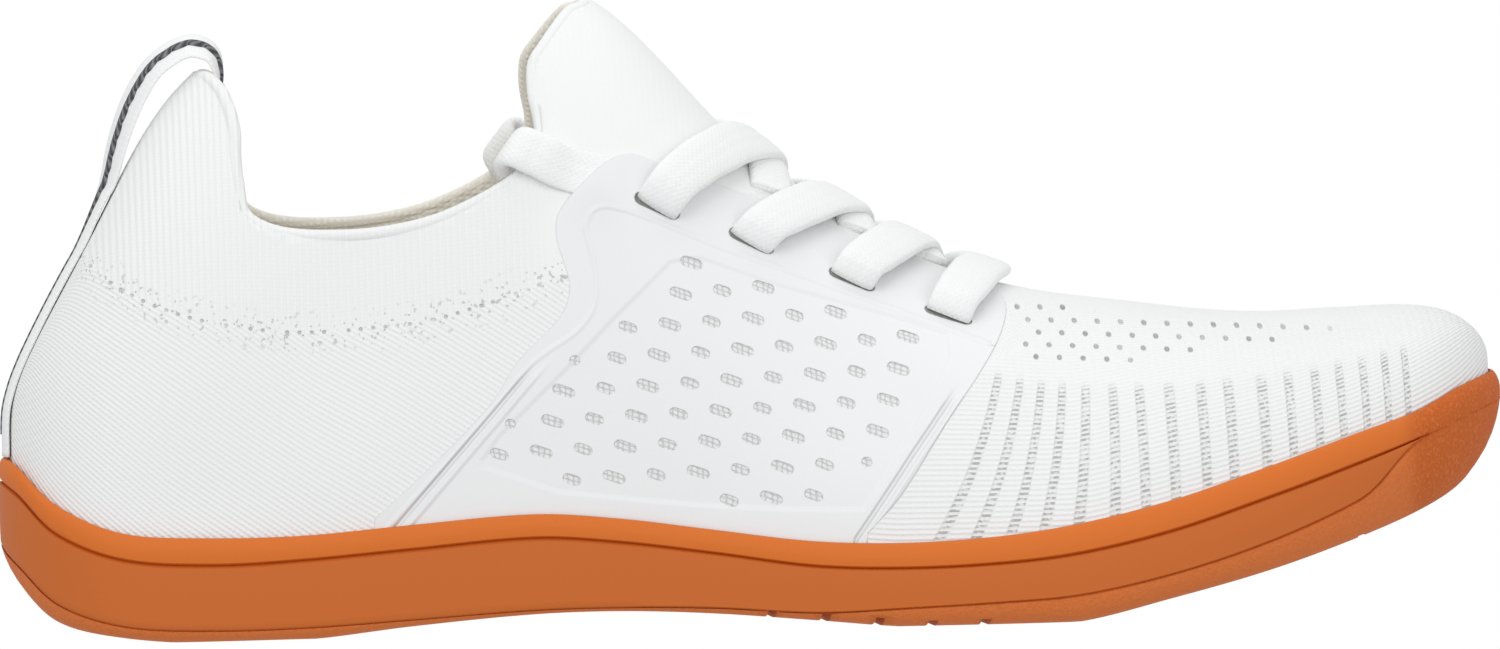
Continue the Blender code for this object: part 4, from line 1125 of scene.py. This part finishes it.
def tread_tools():
    """Bars across the tread; none of them touches the next."""
    tools = []
    for row in TREAD:
        for i in range(row.count):
            x = row.along * LENGTH + i * BAR_STEP
            z = float(sole_line("under", x))
            slope = math.atan2(float(sole_line("under", x + 2) - sole_line("under", x - 2)), 4)
            size = (BAR_WIDE / 1000, 2 * row.reach * BALL_WIDTH / 1000, 2 * BAR_DEEP / 1000, 1)
            place = (
                Matrix.Translation(((x - LENGTH / 2) / 1000, 0, z / 1000))
                @ Matrix.Rotation(math.radians(row.slant), 4, "Z")
                @ Matrix.Rotation(-slope, 4, "Y")
                @ Matrix.Diagonal(size)
            )
            bm = bmesh.new()
            bmesh.ops.create_cube(bm, size=1, matrix=place)
            mesh = bpy.data.meshes.new("bar")
            bm.to_mesh(mesh)
            bm.free()
            tools.append(bpy.data.objects.new("bar", mesh))
    return tools


def camera():
    """The photo's view: from the outer side, a little from above and rolled."""
    azimuth, elevation, roll = (math.radians(angle) for angle in VIEW_ANGLES)
    level = math.cos(elevation)
    back = Vector((math.sin(azimuth) * level, -math.cos(azimuth) * level, math.sin(elevation)))
    right = Vector((math.cos(azimuth), math.sin(azimuth), 0))
    up = back.cross(right)
    turned = right * math.cos(roll) + up * math.sin(roll)
    raised = up * math.cos(roll) - right * math.sin(roll)
    lens = bpy.data.cameras.new("camera")
    lens.sensor_width = SENSOR
    lens.lens = SENSOR * PIXELS_PER_MM * VIEW_DISTANCE / PHOTO_WIDTH
    lens.clip_start, lens.clip_end = 0.05, 20
    item = bpy.data.objects.new("camera", lens)
    bpy.context.scene.collection.objects.link(item)
    item.matrix_world = Matrix.Translation(VIEW_PLACE) @ Matrix((turned, raised, back)).transposed().to_4x4()
    bpy.context.scene.camera = item


def lights():
    """Three soft lamps, and a pale surround that the camera sees as white."""
    world = bpy.data.worlds.new("studio")
    bpy.context.scene.world = world
    world.use_nodes = True
    tree = world.node_tree
    ambient, seen = tree.nodes["Background"], tree.nodes.new("ShaderNodeBackground")
    for node, colour, strength in ((ambient, (0.97, 0.985, 1.0, 1), 0.66), (seen, (1, 1, 1, 1), 1.0)):
        node.inputs["Color"].default_value, node.inputs["Strength"].default_value = colour, strength
    ray, mix = (tree.nodes.new(kind) for kind in ("ShaderNodeLightPath", "ShaderNodeMixShader"))
    tree.links.new(ray.outputs["Is Camera Ray"], mix.inputs[0])
    tree.links.new(ambient.outputs[0], mix.inputs[1])
    tree.links.new(seen.outputs[0], mix.inputs[2])
    tree.links.new(mix.outputs[0], tree.nodes["World Output"].inputs[0])
    for name, place, power in LAMPS:
        lamp = bpy.data.lights.new(name, "AREA")
        lamp.size, lamp.energy = 1.4, power
        item = bpy.data.objects.new(name, lamp)
        item.location = place
        item.rotation_mode = "QUATERNION"
        item.rotation_quaternion = (Vector(place) - Vector(LAMPS_AIM)).to_track_quat("Z", "Y")
        bpy.context.scene.collection.objects.link(item)
    bpy.context.scene.view_settings.view_transform = "Standard"
    bpy.context.scene.view_settings.look = "None"


knit, lining = knit_look(), lining_look()
panel, lace_white = panel_look(), lace_look()
bootie(knit, lining)
rim_roll(knit, lining)
side_panel("panel_outer", LATERAL, panel)
side_panel("panel_inner", MEDIAL, panel)
laces(lace_white)
lace_end("lace_tuck_outer", LATERAL, lace_white, "lace_end_lateral")
lace_end("lace_tuck_inner", MEDIAL, lace_white, "lace_end_medial")
pull_loop(lace_white, braid_look())
cup_sole(gum_look())
sole_cloth = Look("insole_cloth", (0.60, 0.57, 0.51), 0.95)
sole_cloth.bump(sole_cloth.times(sole_cloth.noise(1500.0), 0.3))
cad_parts["insole"].data.materials.clear()
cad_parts["insole"].data.materials.append(sole_cloth.material)
camera()
lights()
